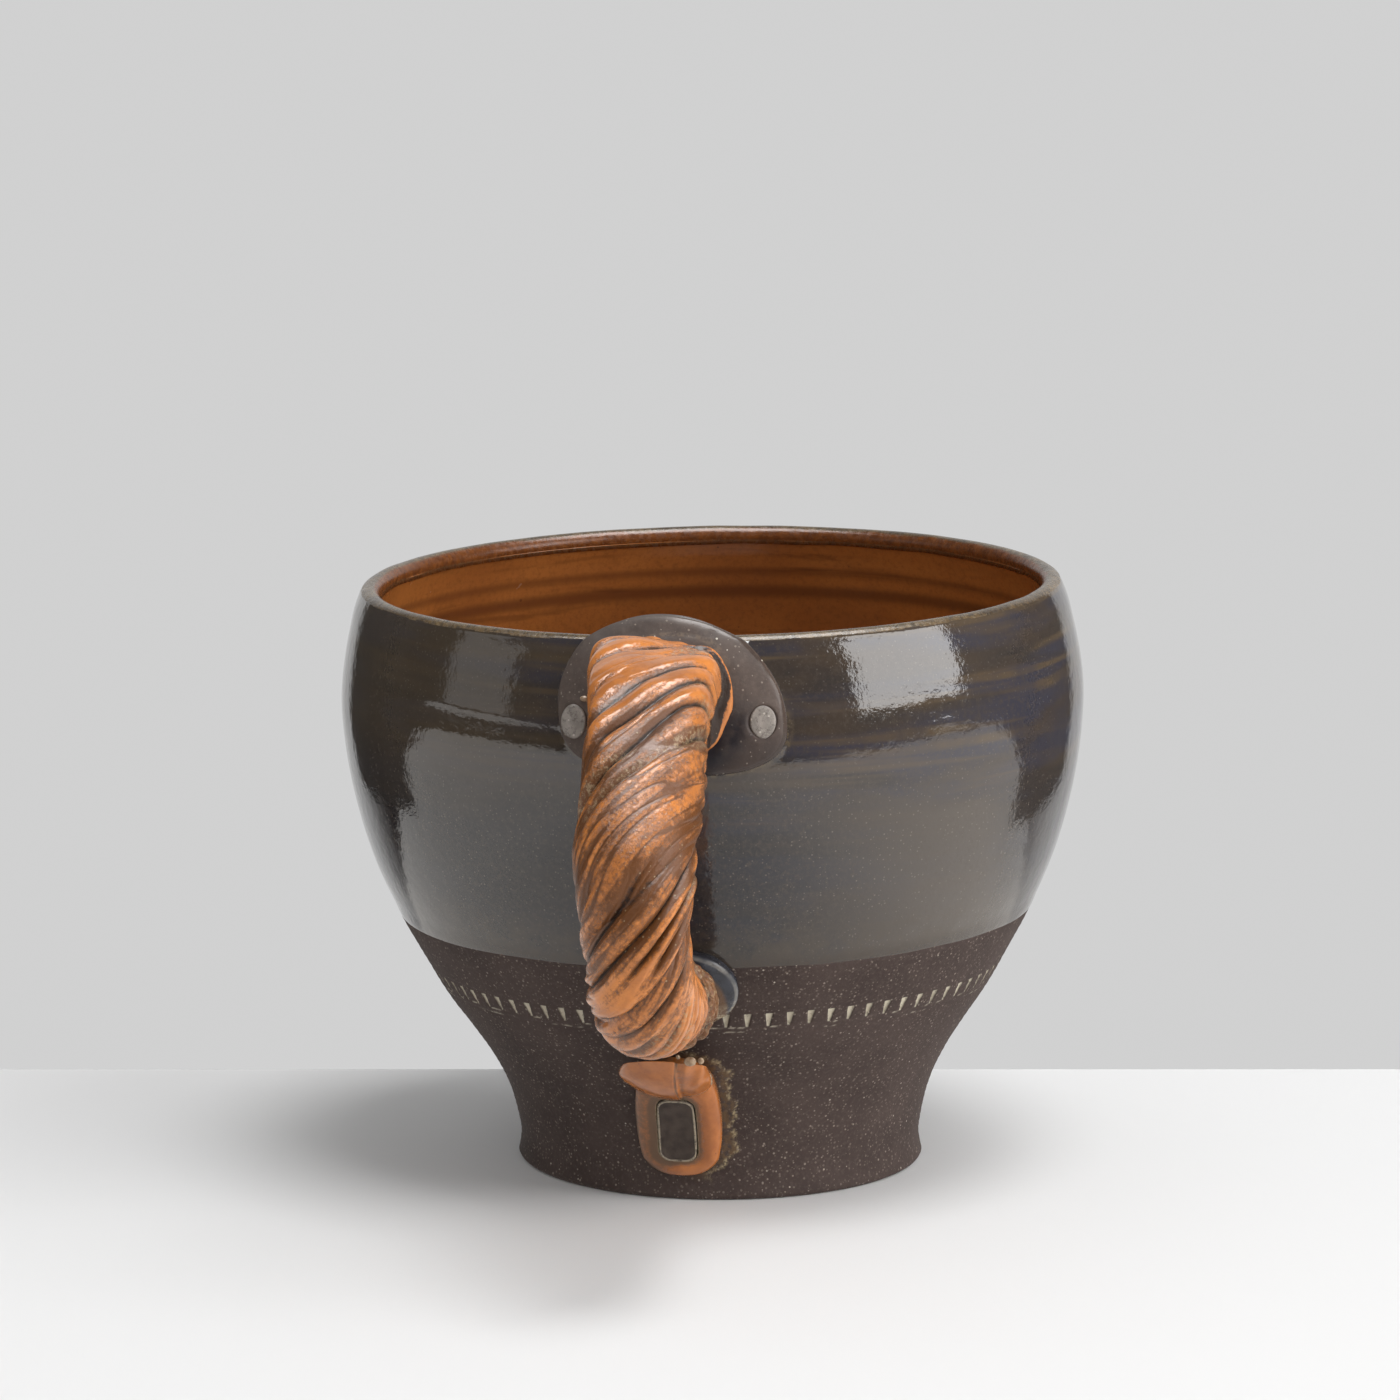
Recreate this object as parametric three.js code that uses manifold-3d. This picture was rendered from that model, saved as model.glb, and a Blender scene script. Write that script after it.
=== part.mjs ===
// Thrown stoneware mug with a twisted rope handle.
// Millimetres, +Z up. The origin is the centre of the flat foot, and the handle points along -Y.

import * as THREE from 'three';
import { mergeGeometries, mergeVertices } from 'three/addons/utils/BufferGeometryUtils.js';
import Module from 'manifold-3d';

const wasm = await Module();
wasm.setup();

// Bowl wall: how far each station lies above the one below it, and the outer radius there.
// The foot's stations step in or out from the foot, and the bowl's draw in from the belly.
const footRadius = 33.0;
const footBevel = 1.2;
const waistRise = 5;
const waistDrawIn = 0.5;
const ankleRise = 11;
const ankleSpread = 2.8;
const flareRise = 16;
const flareRadius = 46.0;
const flankRise = 20;
const flankDrawIn = 4.3;
const bellyRise = 22;
const bellyRadius = 60.0;
const shoulderRise = 16;
const shoulderDrawIn = 2.1;
const rimRise = 3.7;
const rimDrawIn = 3.4;

// Wall and floor thickness, glaze included
const rimWall = 3.4;
const heelWall = 5.2;
const floorThickness = 7;

// Glaze coats and the clearance between pieces that touch
const coatThickness = 0.45;
const seatGap = 0.3;
const leastGap = 0.15;
const cutterReach = 12;
const glazeLineHeight = 41.5;

// Rolled band of wedge notches in the bare clay
const notchCount = 86;
const notchPhase = 0.9;
const notchHeight = 2.4;
const notchTopWidth = 1.3;
const notchToeWidth = 0.4;
const notchDepth = 0.45;
const bandHeight = 32.1;

// Upper pad: the round clay slab that carries the top of the handle
const upperPadHalfWidth = 17.3;
const upperPadAboveRim = 2.9;
const upperPadWidestBelowRim = 12.8;
const upperPadSkirt = 8.5;
const upperPadThickness = 3.6;
const upperPadSkew = -0.12;
const upperPadSkirtExponent = 0.7;
const upperPadEdge = 1.6;
const upperPadOffset = 0.4;

// Pale clay rivets in the upper pad
const rivetRadius = 2.15;
const rivetSpread = 13.9;
const rivetDrop = 0.6;
const rivetSunk = 0.35;
const rivetProud = 0.25;
const rivetDepth = 2;

// Twisted handle
const ropeRadius = 9.5;
const ropeRootRadius = 9.9;
const ropeLowRadius = 8.0;
const ropeEndRadius = 6.8;
const elbowExponent = 4.2;
const roundExponent = 2;
const fingerGap = 33;
const upperRootBelowRim = 9;
const lowerRootHeight = 36.4;
const upperRootOffset = 0.7;
const gripOffset = -0.6;
const lowerRootOffset = -0.9;
const ridgeCount = 8;
const ridgeDepth = 0.85;
const twistLead = 50;
const twistLeadAtRoot = 44;

// Lower pad: the glazed leaf of clay behind the lower root
const lowerPadHalfWidth = 8.8;
const lowerPadHalfHeight = 6.6;
const lowerPadThickness = 2.6;
const lowerPadEdge = 1.0;
const lowerPadRise = 2.2;

// Folded lip and stamped tongue below the lower root
const tailOffset = -2.2;
const tongueHalfWidth = 6.8;
const tongueCorner = 6.4;
const tongueFootHeight = 4.4;
const tongueTopHeight = 25.5;
const tongueThickness = 3.4;
const tongueEdge = 1.4;
const lipHalfWidth = 7.0;
const lipFootHeight = 20.4;
const lipTopHeight = 30.4;
const lipStandOff = 9.5;
const lipPocketHalfWidth = 4.3;
const lipPocketReach = 2.9;
const lipPocketDepth = 3.2;

// Bare panel in the tongue
const panelHalfWidth = 3.1;
const panelHeight = 11.2;
const panelFootHeight = 8.2;
const panelCorner = 1.3;
const panelDepth = 1.1;
const panelThickness = 0.6;

// The foot was cut a little out of true, so the bowl leans towards -X
const leanAngle = THREE.MathUtils.degToRad(1.0);
const leanStartHeight = 30;

// Facets
const turnFacets = 40;
const ropeRings = 42;
const ropePointsPerRidge = 3;
const padFacets = 28;

const coatBuild = coatThickness + seatGap;

function smoothstep(low, high, value) {
  return THREE.MathUtils.smoothstep(value, low, high);
}

// The wall as stations of height and radius, with a smooth curve through them.
// The last number is how many facets the stretch up to the station takes.
const wallStations = [[0, footRadius]];
const wallHeights = [];
for (const [rise, radius, facets] of [
  [waistRise, footRadius - waistDrawIn, 1],
  [ankleRise, footRadius + ankleSpread, 3],
  [flareRise, flareRadius, 3],
  [flankRise, bellyRadius - flankDrawIn, 4],
  [bellyRise, bellyRadius, 3],
  [shoulderRise, bellyRadius - shoulderDrawIn, 3],
  [rimRise, bellyRadius - rimDrawIn, 1],
]) {
  const below = wallStations.at(-1)[0];
  wallStations.push([below + rise, radius]);
  wallHeights.push(...Array.from({ length: facets }, (_, i) => below + (rise * (i + 1)) / facets));
}
const wallTop = wallStations.at(-1)[0];
const rimHeight = wallTop + rimWall / 2;
const bellyHeight = wallTop - rimRise - shoulderRise;
const ankleHeight = waistRise + ankleRise;

function stationSlope(index) {
  const below = wallStations[Math.max(index - 1, 0)];
  const above = wallStations[Math.min(index + 1, wallStations.length - 1)];
  return (above[1] - below[1]) / (above[0] - below[0]);
}

// Outer radius of the finished wall at a height; above the rim it goes straight up
function wallRadius(height) {
  const z = THREE.MathUtils.clamp(height, 0, wallTop);
  let index = 0;
  while (index < wallStations.length - 2 && z > wallStations[index + 1][0]) {
    index += 1;
  }
  const [lowHeight, lowRadius] = wallStations[index];
  const [highHeight, highRadius] = wallStations[index + 1];
  const span = highHeight - lowHeight;
  const t = (z - lowHeight) / span;
  const ease = 3 * t ** 2 - 2 * t ** 3;
  const leave = (t ** 3 - 2 * t ** 2 + t) * span * stationSlope(index);
  const arrive = (t ** 3 - t ** 2) * span * stationSlope(index + 1);
  return THREE.MathUtils.lerp(lowRadius, highRadius, ease) + leave + arrive;
}

// Outward direction of the wall in the plane of radius and height
function wallNormal(height) {
  const step = 0.2;
  const slope = (wallRadius(height + step) - wallRadius(height - step)) / (2 * step);
  return new THREE.Vector2(1, -slope).normalize();
}

// A profile point a given depth under the finished wall; a negative depth stands off it
function underWall(height, depth) {
  return new THREE.Vector2(wallRadius(height), height).addScaledVector(wallNormal(height), -depth);
}

function wallThickness(height) {
  return THREE.MathUtils.lerp(heelWall, rimWall, smoothstep(ankleHeight, bellyHeight, height));
}

function heightsBetween(low, high, count) {
  return Array.from({ length: count + 1 }, (_, i) => low + ((high - low) * i) / count);
}

// The clay steps in by the glaze's build-up at a small ledge under the glaze line
const ledgeHeight = glazeLineHeight - seatGap;
const shortestFacet = 0.5;
const bareHeights = [
  footBevel,
  ...wallHeights.filter((z) => z > footBevel + shortestFacet && z < ledgeHeight - shortestFacet),
  ledgeHeight,
];
const glazedHeights = [glazeLineHeight, ...wallHeights.filter((z) => z > glazeLineHeight + shortestFacet)];
const insideHeights = heightsBetween(ankleHeight, wallTop, 7).reverse();

// The rounded lip, from the outside over to the inside, a given depth under the glaze
function lipArc(depth) {
  const centre = underWall(wallTop, rimWall / 2);
  const outward = wallNormal(wallTop).angle();
  const radius = rimWall / 2 - depth;
  const steps = 4;
  return Array.from({ length: steps - 1 }, (_, i) => {
    const angle = outward + (Math.PI * (i + 1)) / steps;
    return new THREE.Vector2(centre.x + radius * Math.cos(angle), centre.y + radius * Math.sin(angle));
  });
}

// The inside of the bowl, from the lip down the wall and over the floor to the axis
function insideProfile(depth) {
  const wall = insideHeights.map((z) => underWall(z, wallThickness(z) - depth));
  const [above, heel] = wall.slice(-2);
  const floor = floorThickness - depth;
  const towards = heel.clone().sub(above);
  const corner = heel.clone().addScaledVector(towards, (floor - heel.y) / towards.y);
  const sweep = new THREE.QuadraticBezierCurve(heel, corner, new THREE.Vector2(0, floor));
  return [...wall, ...sweep.getPoints(4).slice(1)];
}

function turned(profile) {
  return new THREE.LatheGeometry(profile, turnFacets).rotateX(Math.PI / 2);
}

function turnedRing(profile) {
  return turned([...profile, profile[0]]);
}

// Booleans
function solidOf(geometry) {
  const bare = geometry.clone();
  bare.deleteAttribute('normal');
  bare.deleteAttribute('uv');
  const merged = mergeVertices(bare, 1e-4);
  const mesh = new wasm.Mesh({
    numProp: 3,
    vertProperties: new Float32Array(merged.attributes.position.array),
    triVerts: new Uint32Array(merged.index.array),
  });
  return new wasm.Manifold(mesh);
}

function geometryOf(solid) {
  const mesh = solid.getMesh();
  const geometry = new THREE.BufferGeometry();
  geometry.setAttribute('position', new THREE.BufferAttribute(new Float32Array(mesh.vertProperties), 3));
  geometry.setIndex(new THREE.BufferAttribute(new Uint32Array(mesh.triVerts), 1));
  return geometry;
}

function cut(geometry, ...cutters) {
  let solid = solidOf(geometry);
  for (const cutter of cutters) {
    solid = solid.subtract(solidOf(cutter));
  }
  return geometryOf(solid);
}

// A closed skin over rings of points, with a fan of faces over each end
function loft(rings, startCentre, endCentre) {
  const around = rings[0].length;
  const points = [...rings.flat(), startCentre, endCentre];
  const index = [];
  for (let ring = 0; ring < rings.length - 1; ring += 1) {
    for (let k = 0; k < around; k += 1) {
      const next = (k + 1) % around;
      const here = ring * around;
      const there = here + around;
      index.push(here + k, here + next, there + k, here + next, there + next, there + k);
    }
  }
  const start = rings.length * around;
  const last = start - around;
  for (let k = 0; k < around; k += 1) {
    const next = (k + 1) % around;
    index.push(start, next, k, start + 1, last + k, last + next);
  }
  const geometry = new THREE.BufferGeometry().setFromPoints(points);
  geometry.setIndex(index);
  return geometry;
}

function middleOf(ring) {
  const sum = ring.reduce((total, point) => total.add(point), new THREE.Vector3());
  return sum.divideScalar(ring.length);
}

// A place on the wall: across it from the handle's plane, at a height, standing off it
function onWall(across, height, standOff) {
  const point = underWall(height, -standOff);
  const angle = across / wallRadius(height);
  return new THREE.Vector3(point.x * Math.sin(angle), -point.x * Math.cos(angle), point.y);
}

// A slab of clay that follows the wall. outline gives across and height for an angle,
// and the face is full in the middle and rolls down to the edge through rings at the crown's shares.
const rolledCrown = [0.96, 0.86, 0.65, 0.35];

function slab({ outline, centre, grow, back, face, edge, fullness, crown = rolledCrown }) {
  const angles = Array.from({ length: padFacets }, (_, i) => (2 * Math.PI * i) / padFacets);
  const ring = (share, standOff) => angles.map((angle) => {
    const [across, height] = outline(angle, grow);
    return onWall(
      THREE.MathUtils.lerp(centre[0], across, share),
      THREE.MathUtils.lerp(centre[1], height, share),
      standOff,
    );
  });
  const onCrown = (share) => ring(share, edge + (face - edge) * (1 - share ** fullness) ** 0.5);
  const rings = [ring(0.5, back), ring(1, back), ring(1, edge), ...crown.map(onCrown)];
  return loft(rings, onWall(centre[0], centre[1], back), onWall(centre[0], centre[1], face));
}

// Upper pad: round above its widest line and squarer below it
const upperPadCentre = [upperPadOffset, rimHeight - upperPadWidestBelowRim];

function upperPadOutline(angle, grow) {
  const up = Math.sin(angle) > 0;
  const rise = up ? upperPadWidestBelowRim + upperPadAboveRim : upperPadSkirt;
  const exponent = up ? 1 : upperPadSkirtExponent;
  const along = Math.sign(Math.cos(angle)) * Math.abs(Math.cos(angle)) ** exponent;
  const above = Math.sign(Math.sin(angle)) * Math.abs(Math.sin(angle)) ** exponent * (rise + grow);
  return [
    upperPadOffset + along * (upperPadHalfWidth + grow) + upperPadSkew * above,
    upperPadCentre[1] + above,
  ];
}

function upperPadSlab(grow, back, face) {
  return slab({
    outline: upperPadOutline,
    centre: upperPadCentre,
    grow,
    back,
    face,
    edge: upperPadEdge,
    fullness: 5,
  });
}

const upperPadBack = -coatBuild + seatGap;

function rivetPlace(side, standOff) {
  return onWall(side * rivetSpread, upperPadCentre[1] - rivetDrop, standOff);
}

function rivetPin(side, radius, from, to) {
  const start = rivetPlace(side, from);
  const end = rivetPlace(side, to);
  const axis = end.clone().sub(start);
  const upright = new THREE.Vector3(0, 1, 0);
  return new THREE.CylinderGeometry(radius, radius, axis.length(), 20)
    .applyQuaternion(new THREE.Quaternion().setFromUnitVectors(upright, axis.clone().normalize()))
    .translate(...start.add(end).multiplyScalar(0.5));
}

const rivetFace = upperPadThickness - rivetSunk;

// Lower pad
const lowerPadCentre = [0, lowerRootHeight + lowerPadRise];

function lowerPadOutline(angle, grow) {
  return [
    (lowerPadHalfWidth + grow) * Math.cos(angle),
    lowerPadCentre[1] + (lowerPadHalfHeight + grow) * Math.sin(angle),
  ];
}

function lowerPadSlab(grow, back, face) {
  return slab({
    outline: lowerPadOutline,
    centre: lowerPadCentre,
    grow,
    back,
    face,
    edge: lowerPadEdge,
    fullness: 3,
  });
}

// Handle: its middle line leaves the upper pad, swings out to the grip and comes back to the lower pad.
// Each arm point is a share of the way out from the pad's face, and a rise over the root
// as a share of the height between the roots.
const upperRootHeight = rimHeight - upperRootBelowRim;
const upperFace = wallRadius(upperRootHeight) + upperPadThickness;
const lowerFace = wallRadius(lowerRootHeight) + lowerPadThickness;
const handleReach = bellyRadius + fingerGap + ropeRadius;
const rootSpan = upperRootHeight - lowerRootHeight;
const upperArm = [[0.22, 0], [0.55, -0.058], [0.82, -0.212], [1, -0.408]];
const lowerArm = [[0.99, 0.38], [0.87, 0.22], [0.64, 0.13], [0.32, 0.072]];

function armPoint([share, rise], face, rootHeight) {
  const out = THREE.MathUtils.lerp(face, handleReach, share);
  return new THREE.Vector3(gripOffset, -out, rootHeight + rise * rootSpan);
}

const handlePath = new THREE.CatmullRomCurve3([
  new THREE.Vector3(upperRootOffset, -(upperFace - upperPadThickness), upperRootHeight),
  ...upperArm.map((point) => armPoint(point, upperFace, upperRootHeight)),
  ...lowerArm.map((point) => armPoint(point, lowerFace, lowerRootHeight)),
  new THREE.Vector3(lowerRootOffset, -(lowerFace - lowerPadThickness), lowerRootHeight),
], false, 'centripetal');
const handleLength = handlePath.getLength();

// Thickest at the upper root, drawn in below the grip and again at the lower root
function ropeRadiusAt(share) {
  const root = (ropeRootRadius - ropeRadius) * (1 - smoothstep(0, 0.2, share));
  const low = (ropeLowRadius - ropeRadius) * smoothstep(0.38, 0.56, share);
  const end = (ropeEndRadius - ropeLowRadius) * smoothstep(0.75, 1, share);
  return ropeRadius + root + low + end;
}

// The bend at the top is squarer than a round section
function squarenessAt(share, angle) {
  const bend = smoothstep(0.02, 0.14, share) * (1 - smoothstep(0.2, 0.4, share));
  const exponent = THREE.MathUtils.lerp(roundExponent, elbowExponent, bend);
  return (Math.abs(Math.cos(angle)) ** exponent + Math.abs(Math.sin(angle)) ** exponent) ** (-1 / exponent);
}

// Turns slowly along the grip and faster near the upper root
function twistAt(share) {
  const extraTurns = 0.2 * (twistLead / twistLeadAtRoot - 1);
  return 2 * Math.PI * ((handleLength / twistLead) * (share + extraTurns * smoothstep(0, 0.4, share)));
}

function rope(grow) {
  const around = ridgeCount * ropePointsPerRidge;
  const sideways = new THREE.Vector3(1, 0, 0);
  const rings = Array.from({ length: ropeRings + 1 }, (_, i) => {
    const share = i / ropeRings;
    const middle = handlePath.getPointAt(share);
    const outward = new THREE.Vector3().crossVectors(handlePath.getTangentAt(share), sideways);
    return Array.from({ length: around }, (_, k) => {
      const inGroove = k % ropePointsPerRidge === 0;
      const angle = (2 * Math.PI * k) / around + twistAt(share);
      const radius = ropeRadiusAt(share) * squarenessAt(share, angle) + grow - (inGroove ? ridgeDepth : 0);
      return middle.clone()
        .addScaledVector(sideways, radius * Math.cos(angle))
        .addScaledVector(outward, radius * Math.sin(angle));
    });
  });
  return loft(rings, handlePath.getPointAt(0), handlePath.getPointAt(1));
}

// Tongue and its panel
const tongueCentre = [tailOffset, (tongueFootHeight + tongueTopHeight) / 2];

function roundedOutline(halfWidth, low, high, corner, middle) {
  const halfHeight = (high - low) / 2;
  return (angle, grow) => {
    const across = THREE.MathUtils.clamp(Math.cos(angle) * 2, -1, 1) * (halfWidth - corner);
    const above = THREE.MathUtils.clamp(Math.sin(angle) * 2, -1, 1) * (halfHeight - corner);
    return [
      middle + across + (corner + grow) * Math.cos(angle),
      low + halfHeight + above + (corner + grow) * Math.sin(angle),
    ];
  };
}

function tongueSlab(grow, back, face) {
  return slab({
    outline: roundedOutline(tongueHalfWidth, tongueFootHeight, tongueTopHeight, tongueCorner, tailOffset),
    centre: tongueCentre,
    grow,
    back,
    face,
    edge: tongueEdge,
    fullness: 4,
  });
}

function panelSlab(grow, back, face) {
  const panelTop = panelFootHeight + panelHeight;
  return slab({
    outline: roundedOutline(panelHalfWidth, panelFootHeight, panelTop, panelCorner, tailOffset),
    centre: [tailOffset, panelFootHeight + panelHeight / 2],
    grow,
    back,
    face,
    edge: face,
    fullness: 4,
    crown: [0.5],
  });
}

const panelFloor = tongueThickness - panelDepth;

// Folded lip: a scoop of clay that stands off the wall under the rope's end
function foldedLip() {
  const levels = 5;
  const around = 20;
  const rings = Array.from({ length: levels }, (_, i) => {
    const share = i / (levels - 1);
    const height = THREE.MathUtils.lerp(lipTopHeight, lipFootHeight, share);
    const swell = Math.sin(Math.PI * (0.34 + 0.5 * share));
    const standOff = tongueThickness + (lipStandOff - tongueThickness) * (1 - share) ** 0.8 * swell;
    const halfWidth = lipHalfWidth * (0.86 + 0.14 * swell);
    return Array.from({ length: around }, (_, k) => {
      const angle = (2 * Math.PI * k) / around;
      const depth = (standOff - seatGap) / 2;
      const middle = seatGap + depth;
      return onWall(tailOffset + halfWidth * Math.cos(angle), height, middle + depth * Math.sin(angle));
    });
  });
  return loft(rings, middleOf(rings[0]), middleOf(rings.at(-1)));
}

function lipPocket() {
  const place = onWall(tailOffset, lipTopHeight, (seatGap + lipStandOff) / 2);
  return new THREE.SphereGeometry(1, 16, 10)
    .scale(lipPocketHalfWidth, lipPocketReach, lipPocketDepth)
    .translate(place.x, place.y, place.z);
}

// The rolled band: one wedge cutter for each notch
function notchCutters() {
  const outline = new THREE.Shape([
    new THREE.Vector2(-notchTopWidth / 2, notchHeight / 2),
    new THREE.Vector2(-notchToeWidth / 2, -notchHeight / 2),
    new THREE.Vector2(notchToeWidth / 2, -notchHeight / 2),
    new THREE.Vector2(notchTopWidth / 2, notchHeight / 2),
  ]);
  const normal = wallNormal(bandHeight);
  const tip = underWall(bandHeight, notchDepth);
  const tilt = Math.atan2(normal.x, normal.y);
  return mergeGeometries(Array.from({ length: notchCount }, (_, i) => (
    new THREE.ExtrudeGeometry(outline, { depth: notchDepth + notchHeight, bevelEnabled: false })
      .rotateX(tilt)
      .translate(0, -tip.x, tip.y)
      .rotateZ((2 * Math.PI * (i + notchPhase)) / notchCount)
  )));
}

// The outside of the bowl, filled in: the finished one, and the clay under the glaze
function filledBowl(wall) {
  return turned([new THREE.Vector2(0, wall[0].y), ...wall, new THREE.Vector2(0, wall.at(-1).y)]);
}

function finishedEnvelope(grow) {
  return filledBowl([...bareHeights, ...glazedHeights].map((z) => underWall(z, -grow)));
}

function clayEnvelope(grow) {
  return filledBowl([
    ...bareHeights.map((z) => underWall(z, -grow)),
    ...glazedHeights.map((z) => underWall(z, coatBuild - grow)),
  ]);
}

function thrownBowl() {
  const profile = [
    new THREE.Vector2(0, 0),
    new THREE.Vector2(wallRadius(0) - footBevel, 0),
    ...bareHeights.map((z) => underWall(z, 0)),
    underWall(ledgeHeight, coatBuild),
    ...glazedHeights.map((z) => underWall(z, coatBuild)),
    ...lipArc(coatBuild),
    ...insideProfile(coatBuild),
  ];
  return cut(turned(profile), notchCutters());
}

function outerGlaze() {
  const face = [...glazedHeights.map((z) => underWall(z, 0)), ...lipArc(0)];
  const back = [...glazedHeights.map((z) => underWall(z, coatThickness)), ...lipArc(coatThickness)];
  const coat = turnedRing([...face, ...back.reverse()]);
  return cut(
    coat,
    upperPadSlab(seatGap, -rimWall / 2, upperPadThickness + seatGap),
    lowerPadSlab(seatGap, -rimWall / 2, lowerPadThickness + seatGap),
  );
}

function linerGlaze() {
  return turned([...insideProfile(coatThickness).reverse(), ...insideProfile(0)]);
}

function upperPad() {
  const sockets = [-1, 1].map((side) => (
    rivetPin(side, rivetRadius + seatGap, rivetFace - rivetDepth - seatGap, cutterReach)
  ));
  return cut(upperPadSlab(0, upperPadBack, upperPadThickness), clayEnvelope(leastGap), ...sockets);
}

function rivet(side) {
  return rivetPin(side, rivetRadius, rivetFace - rivetDepth, rivetFace + rivetProud);
}

function lowerPad() {
  return cut(lowerPadSlab(0, seatGap, lowerPadThickness), clayEnvelope(leastGap));
}

function handleTwist() {
  return cut(
    rope(0),
    finishedEnvelope(seatGap),
    upperPadSlab(seatGap, -cutterReach, upperPadThickness + seatGap),
    lowerPadSlab(seatGap, -cutterReach, lowerPadThickness + seatGap),
  );
}

function tongue() {
  return cut(
    tongueSlab(0, seatGap, tongueThickness),
    clayEnvelope(leastGap),
    panelSlab(seatGap, panelFloor, cutterReach),
    lowerPadSlab(seatGap, -cutterReach, lowerPadThickness + seatGap),
  );
}

function panel() {
  return panelSlab(0, panelFloor + seatGap, panelFloor + seatGap + panelThickness);
}

function lip() {
  return cut(
    foldedLip(),
    lipPocket(),
    clayEnvelope(leastGap),
    rope(seatGap),
    lowerPadSlab(seatGap, -cutterReach, lowerPadThickness + seatGap),
    tongueSlab(seatGap, -cutterReach, tongueThickness + seatGap),
  );
}

// Lean the whole mug while the foot stays flat
function lean(geometry) {
  const position = geometry.attributes.position;
  const slope = Math.tan(leanAngle);
  for (let i = 0; i < position.count; i += 1) {
    const x = position.getX(i);
    const z = position.getZ(i);
    position.setX(i, x - slope * z);
    position.setZ(i, z + slope * x * smoothstep(0, leanStartHeight, z));
  }
  return geometry;
}

function finish(color, roughness) {
  return new THREE.MeshStandardMaterial({ color, roughness, metalness: 0 });
}

const pieces = [
  ['thrown_bowl', thrownBowl(), finish('#4a3d39', 0.9)],
  ['outer_glaze', outerGlaze(), finish('#2f2a2c', 0.15)],
  ['liner_glaze', linerGlaze(), finish('#7a4420', 0.25)],
  ['upper_pad', upperPad(), finish('#463c3a', 0.7)],
  ['rivet_left', rivet(-1), finish('#a8a29c', 0.7)],
  ['rivet_right', rivet(1), finish('#a8a29c', 0.7)],
  ['handle_twist', handleTwist(), finish('#c4703a', 0.25)],
  ['lower_pad', lowerPad(), finish('#3c3c42', 0.3)],
  ['folded_lip', lip(), finish('#b0683a', 0.3)],
  ['tail_tongue', tongue(), finish('#b0662f', 0.3)],
  ['seal_panel', panel(), finish('#2c2624', 0.8)],
];

const mug = new THREE.Group();
for (const [name, geometry, material] of pieces) {
  const mesh = new THREE.Mesh(lean(geometry), material);
  mesh.name = name;
  mug.add(mesh);
}

export default mug;
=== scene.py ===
# Thrown stoneware mug with a twisted rope handle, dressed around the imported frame.
# Lengths in the pieces' dictionaries are millimetres in the mug's own frame; meshes are written in metres.
import math

import bpy
import numpy as np
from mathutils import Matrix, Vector


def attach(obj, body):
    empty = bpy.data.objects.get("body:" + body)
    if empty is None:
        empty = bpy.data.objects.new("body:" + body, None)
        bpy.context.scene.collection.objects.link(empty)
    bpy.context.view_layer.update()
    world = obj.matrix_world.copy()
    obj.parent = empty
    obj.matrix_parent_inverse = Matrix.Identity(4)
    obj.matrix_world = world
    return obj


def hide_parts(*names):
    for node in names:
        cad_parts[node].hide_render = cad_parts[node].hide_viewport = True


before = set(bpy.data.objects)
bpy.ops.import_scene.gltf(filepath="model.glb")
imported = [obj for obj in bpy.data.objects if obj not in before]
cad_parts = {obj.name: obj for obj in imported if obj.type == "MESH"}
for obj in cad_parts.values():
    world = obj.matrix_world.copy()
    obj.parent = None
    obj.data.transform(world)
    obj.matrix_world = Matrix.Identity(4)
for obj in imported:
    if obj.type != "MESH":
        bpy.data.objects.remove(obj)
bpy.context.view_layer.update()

mm = 0.001

# The thrown wall: height and outer radius of each station, then its foot, lip, floor and lean
wall = {
    "heights": np.cumsum([0, 5, 11, 16, 20, 22, 16, 3.7]),
    "radii": np.array([33.0, 32.5, 35.8, 46.0, 55.7, 60.0, 57.9, 56.6]),
    "footBevel": 1.2,
    "rimWall": 3.4,
    "heelWall": 5.2,
    "floor": 7.0,
    "ankle": 16.0,
    "belly": 74.0,
    "glazeLine": 41.5,
    "lean": math.tan(math.radians(1.0)),
    "leanStart": 30.0,
    "backRise": 0.6,
    "shoulderSlopes": (-0.24, -0.44),
}
wallTop = wall["heights"][-1]
rimHeight = wallTop + wall["rimWall"] / 2


# Small maths shared by all pieces

def smooth(low, high, value):
    t = np.clip((np.asarray(value, float) - low) / (high - low), 0, 1)
    return t * t * (3 - 2 * t)


def near(low, high, distance):
    # 1 closer than low, falling to 0 at high
    return 1 - smooth(low, high, distance)


def mixed(a, b, share):
    return a + (b - a) * share


def signedPower(value, power):
    return np.sign(value) * np.abs(value) ** power


def fullTurn(columns):
    return np.linspace(0, 2 * math.pi, columns, endpoint=False)


def sideOf(angle):
    # The same angle from -pi to pi, 0 at the handle
    return (angle + math.pi) % (2 * math.pi) - math.pi


def lumps(u, v, cellsAround, cellsAlong, seed):
    # Soft random lumps from -1 to 1; u wraps around from 0 to 1, v runs from 0 to 1
    table = np.random.default_rng(seed).uniform(-1, 1, (cellsAlong + 2, cellsAround))
    x = (np.asarray(u) % 1) * cellsAround
    y = np.clip(np.asarray(v), 0, 1) * cellsAlong
    x0 = np.floor(x).astype(int)
    y0 = np.floor(y).astype(int)
    tx = x - x0
    ty = y - y0
    tx = tx * tx * (3 - 2 * tx)
    ty = ty * ty * (3 - 2 * ty)
    left = x0 % cellsAround
    right = (x0 + 1) % cellsAround
    low = mixed(table[y0, left], table[y0, right], tx)
    high = mixed(table[y0 + 1, left], table[y0 + 1, right], tx)
    return mixed(low, high, ty)


def ringLumps(turn, cells, seed):
    return lumps(turn, 0 * turn, cells, 1, seed)


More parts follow.
